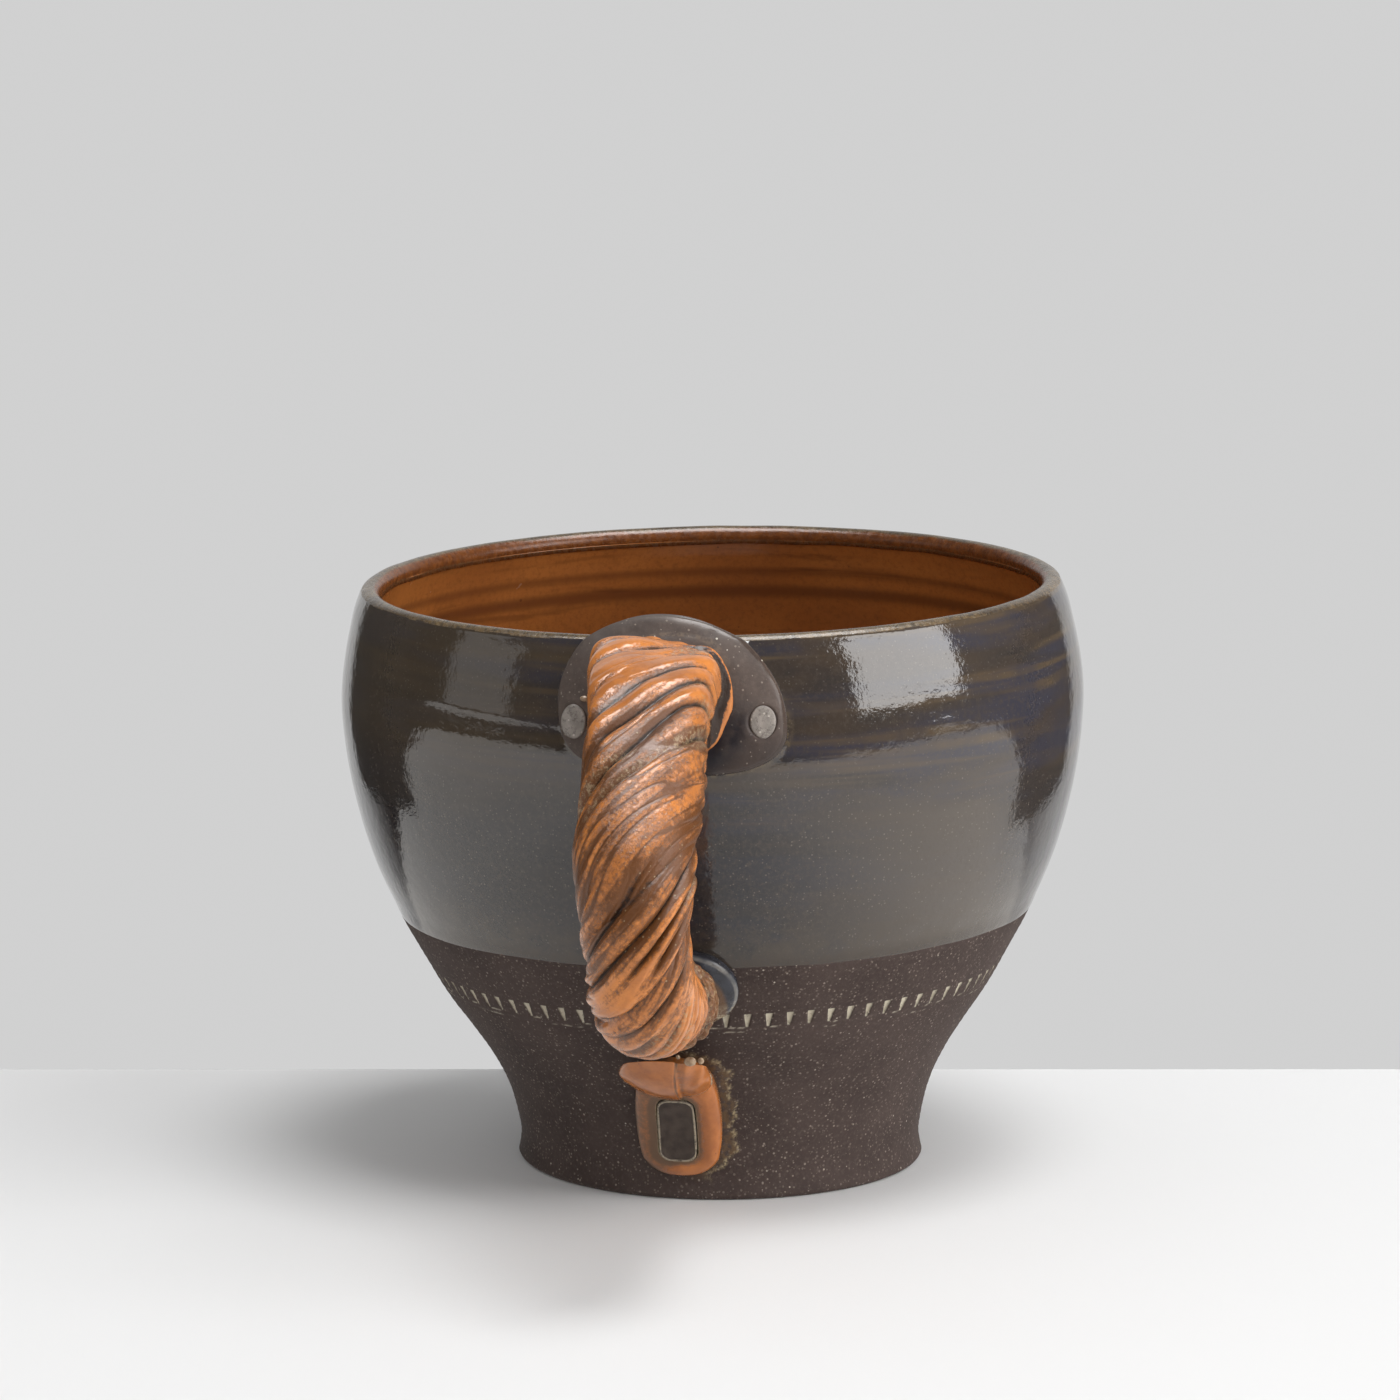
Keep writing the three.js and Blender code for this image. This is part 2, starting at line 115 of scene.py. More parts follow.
def wallRadius(height):
    heights, radii = wall["heights"], wall["radii"]
    z = np.clip(np.asarray(height, float), 0, wallTop)
    last = len(heights) - 1
    slopes = np.array([
        (radii[min(i + 1, last)] - radii[max(i - 1, 0)])
        / (heights[min(i + 1, last)] - heights[max(i - 1, 0)])
        for i in range(last + 1)
    ])
    slopes[-2:] = wall["shoulderSlopes"]
    i = np.clip(np.searchsorted(heights, z, side="left") - 1, 0, last - 1)
    span = heights[i + 1] - heights[i]
    t = (z - heights[i]) / span
    ease = 3 * t**2 - 2 * t**3
    leave = (t**3 - 2 * t**2 + t) * span * slopes[i]
    arrive = (t**3 - t**2) * span * slopes[i + 1]
    radius = mixed(radii[i], radii[i + 1], ease) + leave + arrive
    above = np.maximum(np.asarray(height, float) - wallTop, 0)
    return radius + slopes[last] * 2 * (1 - np.exp(-above / 2))


def wallNormal(height):
    step = 0.2
    slope = (wallRadius(height + step) - wallRadius(height - step)) / (2 * step)
    length = np.hypot(1, slope)
    return 1 / length, -slope / length


def offWall(height, standOff):
    # Radius and height of a point that stands off the finished wall, or lies under it if negative
    outward, upward = wallNormal(height)
    return wallRadius(height) + outward * standOff, height + upward * standOff


def wallThickness(height):
    return mixed(wall["heelWall"], wall["rimWall"], smooth(wall["ankle"], wall["belly"], height))


def around(radius, height, angle):
    # Angle runs from the handle (-Y) towards +X
    shape = np.broadcast(radius, height, angle).shape
    points = np.zeros(shape + (3,))
    points[..., 0] = radius * np.sin(angle)
    points[..., 1] = -radius * np.cos(angle)
    points[..., 2] = height + wall["backRise"] * smooth(60, wallTop, height) * (1 - np.cos(angle)) / 2
    return points


def onWall(across, height, standOff):
    radius, z = offWall(height, standOff)
    return around(radius, z, across / wallRadius(height))


def leaned(points):
    # The foot was cut a little out of true, so the bowl leans to -X over a flat foot
    x = points[..., 0] - wall["lean"] * points[..., 2]
    z = points[..., 2] + wall["lean"] * points[..., 0] * smooth(0, wall["leanStart"], points[..., 2])
    return np.stack([x, points[..., 1], z], -1)


# Meshes

class Shell:
    # Rows of points up a piece, each with the marks that its finish reads
    def __init__(self, columns, *names):
        self.columns = columns
        self.rows = []
        self.marks = {name: [] for name in names}

    def add(self, points, **values):
        self.rows.append(points)
        for name, held in self.marks.items():
            held.append(np.broadcast_to(values.get(name, 0.0), self.columns))


def skin(name, rows, marks, caps=True):
    # A closed mesh over rows of points that wrap around; with caps=False the rows close on themselves
    rows = np.asarray(rows, float)
    rowCount, count = rows.shape[:2]
    points = leaned(rows.reshape(-1, 3))
    here = np.arange(rowCount * count).reshape(rowCount, count)
    beside = np.roll(here, -1, axis=1)
    if caps:
        below, above = here[:-1], here[1:]
        belowNext, aboveNext = beside[:-1], beside[1:]
    else:
        below, above = here, np.roll(here, -1, axis=0)
        belowNext, aboveNext = beside, np.roll(beside, -1, axis=0)
    quads = np.stack([below, belowNext, aboveNext, above], -1).reshape(-1, 4)
    faces = quads.tolist()
    marks = {key: np.asarray(value, float).reshape(-1) for key, value in marks.items()}
    if caps:
        ends = np.stack([points[here[0]].mean(0), points[here[-1]].mean(0)])
        start = len(points)
        points = np.vstack([points, ends])
        for key, value in marks.items():
            marks[key] = np.concatenate([value, [value[here[0]].mean(), value[here[-1]].mean()]])
        faces += [[start, int(b), int(a)] for a, b in zip(here[0], beside[0])]
        faces += [[start + 1, int(a), int(b)] for a, b in zip(here[-1], beside[-1])]
    corners = points[quads[:, :3]]
    volume = np.einsum("ij,ij->i", corners[:, 0], np.cross(corners[:, 1], corners[:, 2])).sum()
    if volume < 0:
        faces = [face[::-1] for face in faces]
    mesh = bpy.data.meshes.new(name)
    mesh.from_pydata((points * mm).tolist(), [], faces)
    for key, value in marks.items():
        mesh.attributes.new(key, "FLOAT", "POINT").data.foreach_set("value", value.astype(np.float32))
    mesh.polygons.foreach_set("use_smooth", [True] * len(mesh.polygons))
    mesh.update()
    piece = bpy.data.objects.new(name, mesh)
    bpy.context.scene.collection.objects.link(piece)
    return piece


def seat(piece, finish, slot, *nodes):
    # Every piece is fired to the bowl, so all of them ride on the one body
    piece.data.materials.append(finish)
    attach(piece, "root")
    if nodes:
        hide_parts(*nodes)
    print("made", piece.name, len(piece.data.polygons), "faces")
    return piece


# Finishes

class Nodes:
    # Adds nodes and their links to one node tree
    def __init__(self, tree):
        self.tree = tree

    def node(self, kind, inputs=None, **settings):
        node = self.tree.nodes.new(kind)
        for key, value in settings.items():
            setattr(node, key, value)
        for key, value in (inputs or {}).items():
            self.feed(node.inputs[key], value)
        return node

    def feed(self, socket, value):
        if isinstance(value, bpy.types.NodeSocket):
            self.tree.links.new(value, socket)
        elif value is not None:
            socket.default_value = value

    def math(self, operation, a, b=None, clamp=False):
        return self.node("ShaderNodeMath", {0: a, 1: b}, operation=operation, use_clamp=clamp).outputs[0]

    def times(self, a, b):
        return self.math("MULTIPLY", a, b)

    def plus(self, a, b, clamp=False):
        return self.math("ADD", a, b, clamp)


class Glaze(Nodes):
    # One finish under construction: tones go over one another, and sizes are in metres
    def __init__(self, name, **constants):
        self.finish = bpy.data.materials.new(name)
        self.finish.use_nodes = True
        super().__init__(self.finish.node_tree)
        self.shader = self.tree.nodes["Principled BSDF"]
        self.place = self.node("ShaderNodeTexCoord").outputs["Object"]
        for socket, value in constants.items():
            self.shader.inputs[socket.replace("_", " ")].default_value = value

    def mark(self, name):
        return self.node("ShaderNodeAttribute", attribute_name=name).outputs["Fac"]

    def noise(self, size, detail=3.0, roughness=0.5, stretch=(1, 1, 1), distortion=0.0):
        # size is the width of a lump
        place = self.node("ShaderNodeMapping", {"Vector": self.place, "Scale": stretch}).outputs[0]
        inputs = {"Vector": place, "Scale": 1 / size, "Detail": detail,
                  "Roughness": roughness, "Distortion": distortion}
        return self.node("ShaderNodeTexNoise", inputs).outputs["Fac"]

    def ramp(self, value, low, high, first=0.0, last=1.0):
        inputs = {"Value": value, "From Min": low, "From Max": high, "To Min": first, "To Max": last}
        return self.node("ShaderNodeMapRange", inputs, interpolation_type="SMOOTHSTEP").outputs[0]

    def clouds(self, size, detail, roughness, low, high, first=0.0, last=1.0):
        return self.ramp(self.noise(size, detail, roughness), low, high, first, last)

    def marked(self, name, share):
        return self.times(self.mark(name), share)

    def specks(self, spacing, share, low, high):
        # Random grains: one cell in 1/share holds a speck with a soft edge
        cells = self.node("ShaderNodeTexVoronoi", {"Vector": self.place, "Scale": 1 / spacing})
        pick = self.node("ShaderNodeSeparateColor", {"Color": cells.outputs["Color"]})
        chosen = self.math("LESS_THAN", pick.outputs[0], share)
        size = self.ramp(pick.outputs[1], 0, 1, low, high)
        inside = self.math("SUBTRACT", size, cells.outputs["Distance"])
        return self.times(chosen, self.ramp(inside, 0, 0.08))

    def mix(self, share, a, b):
        node = self.node("ShaderNodeMix", data_type="RGBA")
        self.feed(node.inputs["Factor"], share)
        for socket, value in ((node.inputs[6], a), (node.inputs[7], b)):
            self.feed(socket, value if isinstance(value, bpy.types.NodeSocket) else (*value, 1))
        return node.outputs[2]

    def base(self, share, a, b):
        self.colour = self.mix(share, a, b)

    def over(self, share, tone):
        self.colour = self.mix(share, self.colour, tone)

    def bump(self, height, distance, strength, after=None):
        inputs = {"Height": height, "Distance": distance, "Strength": strength, "Normal": after}
        return self.node("ShaderNodeBump", inputs).outputs[0]

    def done(self, roughness, normal=None):
        self.feed(self.shader.inputs["Base Color"], self.colour)
        self.feed(self.shader.inputs["Roughness"], roughness)
        self.feed(self.shader.inputs["Normal"], normal)
        return self.finish


clay = {
    "body": (0.062, 0.043, 0.037),
    "bodyDark": (0.044, 0.030, 0.026),
    "grain": (0.12, 0.09, 0.078),
    "grit": (0.150, 0.118, 0.098),
    "grog": (0.27, 0.22, 0.18),
    "chip": (0.46, 0.40, 0.33),
    "slip": (0.50, 0.45, 0.35),
    "wash": (0.105, 0.062, 0.030),
    "washEdge": (0.33, 0.26, 0.15),
}


def rawStoneware():
    g = Glaze("rawStoneware", Specular_IOR_Level=0.3)
    g.base(g.clouds(0.014, 4, 0.6, 0.35, 0.7), clay["body"], clay["bodyDark"])
    g.over(g.clouds(0.0006, 2, 0.6, 0.45, 0.8, 0, 0.35), clay["grain"])
    small = g.specks(0.0009, 0.55, 0.12, 0.25)
    large = g.specks(0.0017, 0.45, 0.06, 0.13)
    g.over(g.times(g.specks(0.00055, 0.60, 0.16, 0.40), 0.75), clay["grit"])
    g.over(g.times(small, 0.75), clay["grog"])
    g.over(g.times(large, 0.9), clay["chip"])
    g.over(g.marked("wash", g.clouds(0.0011, 3, 0.7, 0.35, 0.6)), clay["wash"])
    g.over(g.marked("washEdge", g.clouds(0.0007, 3, 0.7, 0.42, 0.62)), clay["washEdge"])
    g.over(g.marked("slip", g.clouds(0.0006, 3, 0.7, 0.30, 0.46, 0.45, 1)), clay["slip"])
    rough = g.bump(g.noise(0.00045, 3, 0.6), 0.00012, 0.5)
    pits = g.bump(g.plus(small, large), 0.00006, 0.6, rough)
    return g.done(g.ramp(g.mark("wash"), 0, 1, 0.86, 0.38), pits)


darkGlazeLook = {
    "brown": (0.050, 0.037, 0.028),
    "black": (0.032, 0.028, 0.027),
    "blue": (0.037, 0.036, 0.049),
    "olive": (0.062, 0.047, 0.032),
    "stripe": (0.088, 0.062, 0.038),
    "low": (0.017, 0.017, 0.021),
    "paintedTableReflection": (0.094, 0.076, 0.060),
    "mottle": (0.066, 0.052, 0.041),
    "fleck": (0.150, 0.125, 0.10),
    "grog": (0.26, 0.22, 0.18),
    "seam": (0.120, 0.088, 0.052),
    "nearLine": (0.062, 0.047, 0.033),
    "edge": (0.043, 0.030, 0.021),
    "tan": (0.150, 0.100, 0.052),
    "tanPale": (0.24, 0.18, 0.105),
}


def darkGlaze():
    g = Glaze("darkGlaze", IOR=1.68)
    look = darkGlazeLook
    split = g.node("ShaderNodeSeparateXYZ", {"Vector": g.place})
    x, z = split.outputs["X"], split.outputs["Z"]
    drift = g.noise(0.02, 3, 0.55, (1, 1, 3.0))
    band = g.noise(0.0046, 2, 0.5, (0.10, 0.10, 1), 0.2)
    leftSide = g.ramp(g.plus(x, g.times(drift, 0.03)), 0.012, -0.018)
    upper = g.ramp(g.plus(z, g.times(drift, 0.02)), 0.070, 0.088)
    g.base(g.ramp(drift, 0.38, 0.7), look["brown"], look["black"])
    blue = g.ramp(g.plus(band, g.times(g.mark("ring"), 0.10)), 0.40, 0.60)
    g.over(g.times(blue, g.ramp(drift, 0.30, 0.55)), look["blue"])
    g.over(g.times(leftSide, 0.7), look["olive"])
    g.over(g.ramp(upper, 0, 1, 0.68, 0), look["low"])
    # A paler, warmer tone low on the right, fading past the right edge: a painted reflection of the bright
    # table
    paintedTableReflection = g.times(g.ramp(x, 0.008, 0.045), g.ramp(upper, 0, 1, 0.75, 0.15))
    g.over(g.times(paintedTableReflection, g.ramp(x, 0.044, 0.052, 1, 0.25)), look["paintedTableReflection"])
    stripe = g.ramp(g.noise(0.0021, 2, 0.5, (0.04, 0.04, 1), 0.25), 0.48, 0.68)
    stripe = g.times(stripe, g.clouds(0.010, 2, 0.5, 0.3, 0.6, 0.25, 0.9))
    stripe = g.times(stripe, g.ramp(leftSide, 0, 1, 1.0, 0.35))
    g.over(g.times(stripe, g.ramp(upper, 0, 1, 0.15, 1)), look["stripe"])
    g.over(g.clouds(0.0008, 5, 0.8, 0.45, 0.72, 0, 0.8), look["mottle"])
    g.over(g.times(g.specks(0.0005, 0.50, 0.10, 0.32), g.ramp(upper, 0, 1, 0.65, 0.30)), look["fleck"])
    large = g.times(g.specks(0.0012, 0.22, 0.04, 0.15), g.clouds(0.008, 3, 0.7, 0.42, 0.60))
    g.over(g.times(large, 0.30), look["grog"])
    g.over(g.marked("seam", g.clouds(0.0012, 3, 0.7, 0.36, 0.62)), look["seam"])
    nearLine = g.times(g.ramp(z, 0.053, 0.043), g.clouds(0.004, 4, 0.7, 0.3, 0.65, 0.1, 0.8))
    g.over(nearLine, look["nearLine"])
    g.over(g.marked("edge", g.clouds(0.002, 3, 0.7, 0.2, 0.6, 0.5, 1)), look["edge"])
    peel = g.bump(g.noise(0.0030, 4, 0.62), 0.00016, 0.5)
    fine = g.bump(g.noise(0.0008, 3, 0.6), 0.00003, 0.5, peel)
    return g.done(g.clouds(0.0016, 3, 0.6, 0.3, 0.8, 0.03, 0.08), fine)


amber = {
    "light": (0.35, 0.122, 0.028),
    "deep": (0.25, 0.082, 0.020),
    "line": (0.105, 0.034, 0.011),
    "mottle": (0.120, 0.040, 0.013),
    "fleck": (0.04, 0.016, 0.008),
    "edge": (0.17, 0.075, 0.030),
    "lip": (0.175, 0.058, 0.015),
}


def lipGlaze():
    # The dark glaze runs thin over the lip and breaks to a drier, mottled tan;
    # the amber begins past the crown
    g = Glaze("lipGlaze", IOR=1.45)
    look = darkGlazeLook
    g.base(g.clouds(0.0011, 5, 0.8, 0.36, 0.60), look["olive"], look["tan"])
    g.over(g.clouds(0.0006, 4, 0.8, 0.52, 0.70), look["tanPale"])
    g.over(g.clouds(0.009, 3, 0.6, 0.45, 0.70, 0, 0.6), look["brown"])
    g.over(g.mark("amber"), g.mix(g.clouds(0.0012, 4, 0.7, 0.35, 0.65), amber["lip"], amber["line"]))
    grain = g.bump(g.noise(0.0008, 4, 0.7), 0.00012, 0.5)
    return g.done(g.clouds(0.0010, 4, 0.7, 0.3, 0.7, 0.16, 0.36), grain)


def amberGlaze():
    g = Glaze("amberGlaze", IOR=1.5)
    g.base(g.clouds(0.03, 3, 0.5, 0.3, 0.7), amber["light"], amber["deep"])
    streak = g.ramp(g.noise(0.0032, 3, 0.55, (0.10, 0.10, 1), 0.4), 0.55, 0.72, 0, 0.55)
    g.over(g.plus(streak, g.times(g.mark("ring"), 0.8), True), amber["line"])
    g.over(g.clouds(0.0009, 5, 0.8, 0.42, 0.75, 0, 0.5), amber["mottle"])
    g.over(g.times(g.specks(0.0016, 0.08, 0.08, 0.2), 0.5), amber["fleck"])
    g.over(g.marked("edge", g.clouds(0.001, 3, 0.7, 0.3, 0.65, 0.3, 1)), amber["edge"])
    peel = g.bump(g.noise(0.0024, 2, 0.5), 0.00006, 0.3)
    return g.done(g.clouds(0.003, 3, 0.5, 0.3, 0.8, 0.16, 0.28), peel)


padLook = {
    "body": (0.082, 0.058, 0.047),
    "bodyDark": (0.056, 0.040, 0.033),
    "grain": (0.115, 0.086, 0.068),
    "low": (0.026, 0.021, 0.021),
    "grog": (0.30, 0.25, 0.20),
    "chip": (0.62, 0.57, 0.48),
    "bead": (0.26, 0.19, 0.12),
    "poolAndShade": (0.014, 0.013, 0.017),
}


def padClay():
    g = Glaze("padClay", IOR=1.48, Specular_IOR_Level=0.32)
    look = padLook
    g.base(g.clouds(0.005, 4, 0.6, 0.35, 0.7), look["body"], look["bodyDark"])
    g.over(g.clouds(0.0006, 3, 0.7, 0.45, 0.75, 0, 0.5), look["grain"])
    # Darker over the lower right of the pad: painted shade
    g.over(g.times(g.mark("low"), 0.5), look["low"])
    small = g.specks(0.0007, 0.40, 0.12, 0.30)
    large = g.specks(0.0014, 0.42, 0.07, 0.16)
    g.over(g.times(small, 0.5), look["grog"])
    g.over(g.times(large, g.ramp(g.mark("crown"), 0, 1, 0.35, 0.95)), look["chip"])
    g.over(g.times(g.marked("bead", g.clouds(0.0009, 3, 0.7, 0.36, 0.58)), 0.25), look["bead"])
    # Dark, glossier glaze pooled by the handle's root, and painted shade of the rope over the same place
    g.over(g.marked("poolAndShade", g.clouds(0.002, 3, 0.5, 0.25, 0.6, 0.4, 1)), look["poolAndShade"])
    gloss = g.plus(g.mark("edge"), g.times(g.mark("poolAndShade"), 0.5), True)
    rough = g.bump(g.noise(0.0005, 3, 0.6), 0.00006, 0.4)
    return g.done(g.ramp(gloss, 0, 0.8, 0.66, 0.18), g.bump(g.plus(small, large), 0.00005, 0.5, rough))


paleLook = {
    "light": (0.30, 0.27, 0.24),
    "deep": (0.19, 0.17, 0.15),
    "dark": (0.085, 0.070, 0.060),
    "grog": (0.46, 0.42, 0.37),
    "edge": (0.16, 0.135, 0.12),
}


def paleClay():
    g = Glaze("paleClay", Specular_IOR_Level=0.35)
    look = paleLook
    g.base(g.clouds(0.0018, 3, 0.5, 0.3, 0.7), look["light"], look["deep"])
    g.over(g.clouds(0.0007, 4, 0.8, 0.48, 0.66, 0, 0.75), look["dark"])
    g.over(g.times(g.specks(0.0007, 0.30, 0.1, 0.3), 0.8), look["grog"])
    g.over(g.mark("edge"), look["edge"])
    return g.done(0.62, g.bump(g.noise(0.0004, 3, 0.6), 0.00008, 0.6))


rustLook = {
    "orange": (0.60, 0.215, 0.055),
    "rust": (0.42, 0.150, 0.045),
    "brown": (0.110, 0.038, 0.009),
    "dark": (0.028, 0.014, 0.008),
    "grog": (0.40, 0.31, 0.19),
    "lace": (0.36, 0.26, 0.15),
}


def rustGlaze():
    g = Glaze("rustGlaze", IOR=1.5)
    look = rustLook
    cloud = g.noise(0.006, 4, 0.65)
    grain = g.noise(0.0011, 6, 0.85)
    fine = g.noise(0.0005, 4, 0.8)
    g.base(g.ramp(g.plus(cloud, g.times(grain, 0.4)), 0.5, 0.9), look["orange"], look["rust"])
    spread = g.plus(g.ramp(grain, 0.36, 0.66, 0, 0.36), g.ramp(fine, 0.34, 0.66, 0, 0.22))
    thin = g.ramp(g.plus(g.mark("thin"), spread), 0.42, 1.10, 0, 0.95)
    # Hollows go near black: glaze pooled in the creases, and painted shade in them and on the root's neck
    hollowGlazeAndShade = g.ramp(g.plus(g.mark("hollowGlazeAndShade"), spread), 0.74, 1.25)
    g.over(thin, look["brown"])
    g.over(hollowGlazeAndShade, look["dark"])
    bare = g.math("MAXIMUM", thin, hollowGlazeAndShade)
    g.over(g.times(g.specks(0.0007, 0.30, 0.10, 0.26), g.ramp(bare, 0.3, 0.9, 0.0, 0.6)), look["grog"])
    g.over(g.marked("lace", g.clouds(0.0007, 5, 0.85, 0.48, 0.62, 0, 0.8)), look["lace"])
    peel = g.bump(g.noise(0.0020, 3, 0.6), 0.00020, 0.5)
    grit = g.bump(g.times(fine, g.ramp(bare, 0, 1, 0.15, 1)), 0.00014, 0.6, peel)
    return g.done(g.ramp(bare, 0.15, 0.8, 0.12, 0.32), grit)


slateLook = {
    "light": (0.036, 0.038, 0.048),
    "deep": (0.022, 0.021, 0.024),
    "edge": (0.30, 0.28, 0.25),
    "collar": (0.12, 0.062, 0.030),
    "lace": (0.36, 0.29, 0.19),
    "grog": (0.24, 0.20, 0.15),
}


def slateGlaze():
    g = Glaze("slateGlaze", IOR=1.5)
    look = slateLook
    g.base(g.clouds(0.003, 3, 0.5, 0.35, 0.7), look["light"], look["deep"])
    g.over(g.marked("edge", g.clouds(0.002, 2, 0.5, 0.3, 0.6, 0.35, 1)), look["edge"])
    g.over(g.mark("collar"), look["collar"])
    g.over(g.marked("lace", g.clouds(0.0010, 4, 0.8, 0.44, 0.56)), look["lace"])
    g.over(g.times(g.specks(0.0011, 0.08, 0.1, 0.25), 0.6), look["grog"])
    return g.done(g.clouds(0.002, 3, 0.5, 0.3, 0.7, 0.16, 0.3), g.bump(g.noise(0.0015, 3), 0.00014, 0.5))


beadLook = {
    "light": (0.40, 0.29, 0.19),
    "deep": (0.26, 0.17, 0.10),
}


def paleBead(name, roughness):
    g = Glaze(name, IOR=1.5)
    g.base(g.clouds(0.0006, 2, 0.5, 0.3, 0.7), beadLook["light"], beadLook["deep"])
    return g.done(g.clouds(0.0005, 2, 0.5, 0.3, 0.7, roughness, roughness + 0.1))


tongueLook = {
    "orange": (0.44, 0.150, 0.040),
    "rust": (0.32, 0.105, 0.031),
    "brown": (0.125, 0.066, 0.034),
    "cream": (0.40, 0.33, 0.21),
    "fleck": (0.09, 0.05, 0.03),
}


def tongueGlaze():
    g = Glaze("tongueGlaze", IOR=1.5)
    look = tongueLook
    g.base(g.clouds(0.004, 4, 0.65, 0.35, 0.7), look["orange"], look["rust"])
    brown = g.plus(g.mark("thin"), g.times(g.noise(0.0010, 6, 0.85), 0.95))
    g.over(g.ramp(brown, 0.62, 1.25), look["brown"])
    g.over(g.marked("cream", g.clouds(0.0007, 3, 0.7, 0.3, 0.55)), look["cream"])
    g.over(g.times(g.specks(0.0008, 0.10, 0.1, 0.25), 0.45), look["fleck"])
    return g.done(g.ramp(brown, 0.6, 1.2, 0.17, 0.42), g.bump(g.noise(0.0014, 3, 0.6), 0.0001, 0.4))


panelLook = {
    "dark": (0.046, 0.034, 0.028),
    "light": (0.074, 0.055, 0.044),
    "grog": (0.17, 0.14, 0.11),
    "cream": (0.40, 0.34, 0.25),
}


def barePanel():
    g = Glaze("barePanel", Specular_IOR_Level=0.3)
    look = panelLook
    g.base(g.clouds(0.002, 3, 0.5, 0.3, 0.7), look["dark"], look["light"])
    g.over(g.times(g.specks(0.0006, 0.10, 0.1, 0.25), 0.5), look["grog"])
    g.over(g.marked("cream", g.clouds(0.0008, 4, 0.8, 0.34, 0.54, 0.15, 1)), look["cream"])
    return g.done(0.7, g.bump(g.noise(0.0004, 3, 0.6), 0.0001, 0.6))


# Throwing rings: how far the thrower's fingers pushed the wall in or out, from -1 to 1

def throwingRing(height, angle, spacing, seed):
    wobble = 0.5 * np.sin(angle + seed) + 0.3 * np.sin(2 * angle + 2 * seed)
    s = (np.asarray(height) + wobble) / 100
    coarse = lumps(0 * s, s, 1, int(100 / spacing), seed)
    fine = lumps(0 * s, s, 1, int(250 / spacing), seed + 1)
    return 0.7 * coarse + 0.3 * fine


# Outlines of the sprigged pieces, as across and height on the wall

upperPad = {
    "offset": 0.4,
    "halfWidth": 17.3,
    "aboveRim": 2.78,
    "widestBelowRim": 12.8,
    "skirt": 8.5,
    "skew": -0.12,
    "squareness": 0.7,
    "thickness": 3.6,
    "edge": 1.6,
    "fullness": 5,
    "back": -0.5,
    "columns": 360,
    "rows": 110,
    "rivetDimple": 0.4,
}
upperPad["centre"] = rimHeight - upperPad["widestBelowRim"]
tongue = {
    "middle": -2.4,
    "halfWidth": 6.7,
    "corner": 6.4,
    "foot": 4.4,
    "top": 25.5,
    "thickness": 3.4,
    "edge": 1.4,
    "fullness": 4,
    "back": -0.4,
    "columns": 300,
    "rows": 150,
    "dish": 0.35,
    "rightRoll": 0.25,
}
panel = {
    "halfWidth": 2.85,
    "foot": 7.8,
    "top": 19.8,
    "corner": 1.9,
    "depth": 1.1,
    "thickness": 0.6,
    "fullness": 8,
    "columns": 260,
    "rows": 90,
    "gap": 0.3,
    "border": 0.20,
}
lowerPad = {
    "halfWidth": 8.8,
    "halfHeight": 6.6,
    "thickness": 2.6,
    "edge": 1.0,
    "fullness": 3,
    "back": -0.4,
    "columns": 220,
    "rows": 60,
    "height": 38.6,
}


def upperPadOutline(angle):
    up = np.sin(angle) > 0
    rise = np.where(up, upperPad["widestBelowRim"] + upperPad["aboveRim"], upperPad["skirt"])
    power = np.where(up, 1, upperPad["squareness"])
    above = signedPower(np.sin(angle), power) * rise
    along = signedPower(np.cos(angle), power) * upperPad["halfWidth"]
    return upperPad["offset"] + along + upperPad["skew"] * above, upperPad["centre"] + above


def insideUpperPad(across, height):
    # How far inside the pad's outline a place on the wall lies, in mm; negative outside
    above = height - upperPad["centre"]
    along = across - upperPad["offset"] - upperPad["skew"] * above
    rise = np.where(above > 0, upperPad["widestBelowRim"] + upperPad["aboveRim"], upperPad["skirt"])
    power = np.where(above > 0, 2, 2 / upperPad["squareness"])
    reach = (np.abs(along / upperPad["halfWidth"]) ** power + np.abs(above / rise) ** power) ** (1 / power)
    return (1 - reach) * np.hypot(along, above) / np.maximum(reach, 1e-6)


def boxOutline(angle, box):
    # The tongue or its panel: a box with round corners
    across = np.clip(np.cos(angle) * 2, -1, 1) * (box["halfWidth"] - box["corner"])
    above = np.clip(np.sin(angle) * 2, -1, 1) * ((box["top"] - box["foot"]) / 2 - box["corner"])
    return (tongue["middle"] + across + box["corner"] * np.cos(angle),
            (box["foot"] + box["top"]) / 2 + above + box["corner"] * np.sin(angle))


def boxDistance(across, height, box):
    # How far outside that box a place on the wall lies, in mm; negative inside
    dx = np.abs(across - tongue["middle"]) - (box["halfWidth"] - box["corner"])
    dz = np.abs(height - (box["foot"] + box["top"]) / 2) - ((box["top"] - box["foot"]) / 2 - box["corner"])
    outside = np.hypot(np.maximum(dx, 0), np.maximum(dz, 0))
    return outside + np.minimum(np.maximum(dx, dz), 0) - box["corner"]


# The thrown body: bare clay from the wire-cut base to the glaze line, and the core under the coats

notches = {
    "count": 86,
    "phase": 0.9,
    "height": 2.4,
    "topWidth": 1.3,
    "toeWidth": 0.4,
    "depth": 0.32,
    "band": 32.1,
    "columns": 14,
    "acrossWedge": 8,
}
notches["toe"] = notches["band"] - notches["height"] / 2
body = {
    "rowStep": 0.55,
    "bandRowStep": 0.14,
    "bandBelow": 2.6,
    "bandAbove": 2.3,
    "aboveLine": 1.0,
    "underCoat": 0.55,
    "baseRows": 34,
    "bevelRows": 6,
    "wireDepth": 0.12,
    "toolDepth": 0.05,
    "toolLines": 0.03,
    "crust": 0.22,
    "crustReach": 2.1,
}


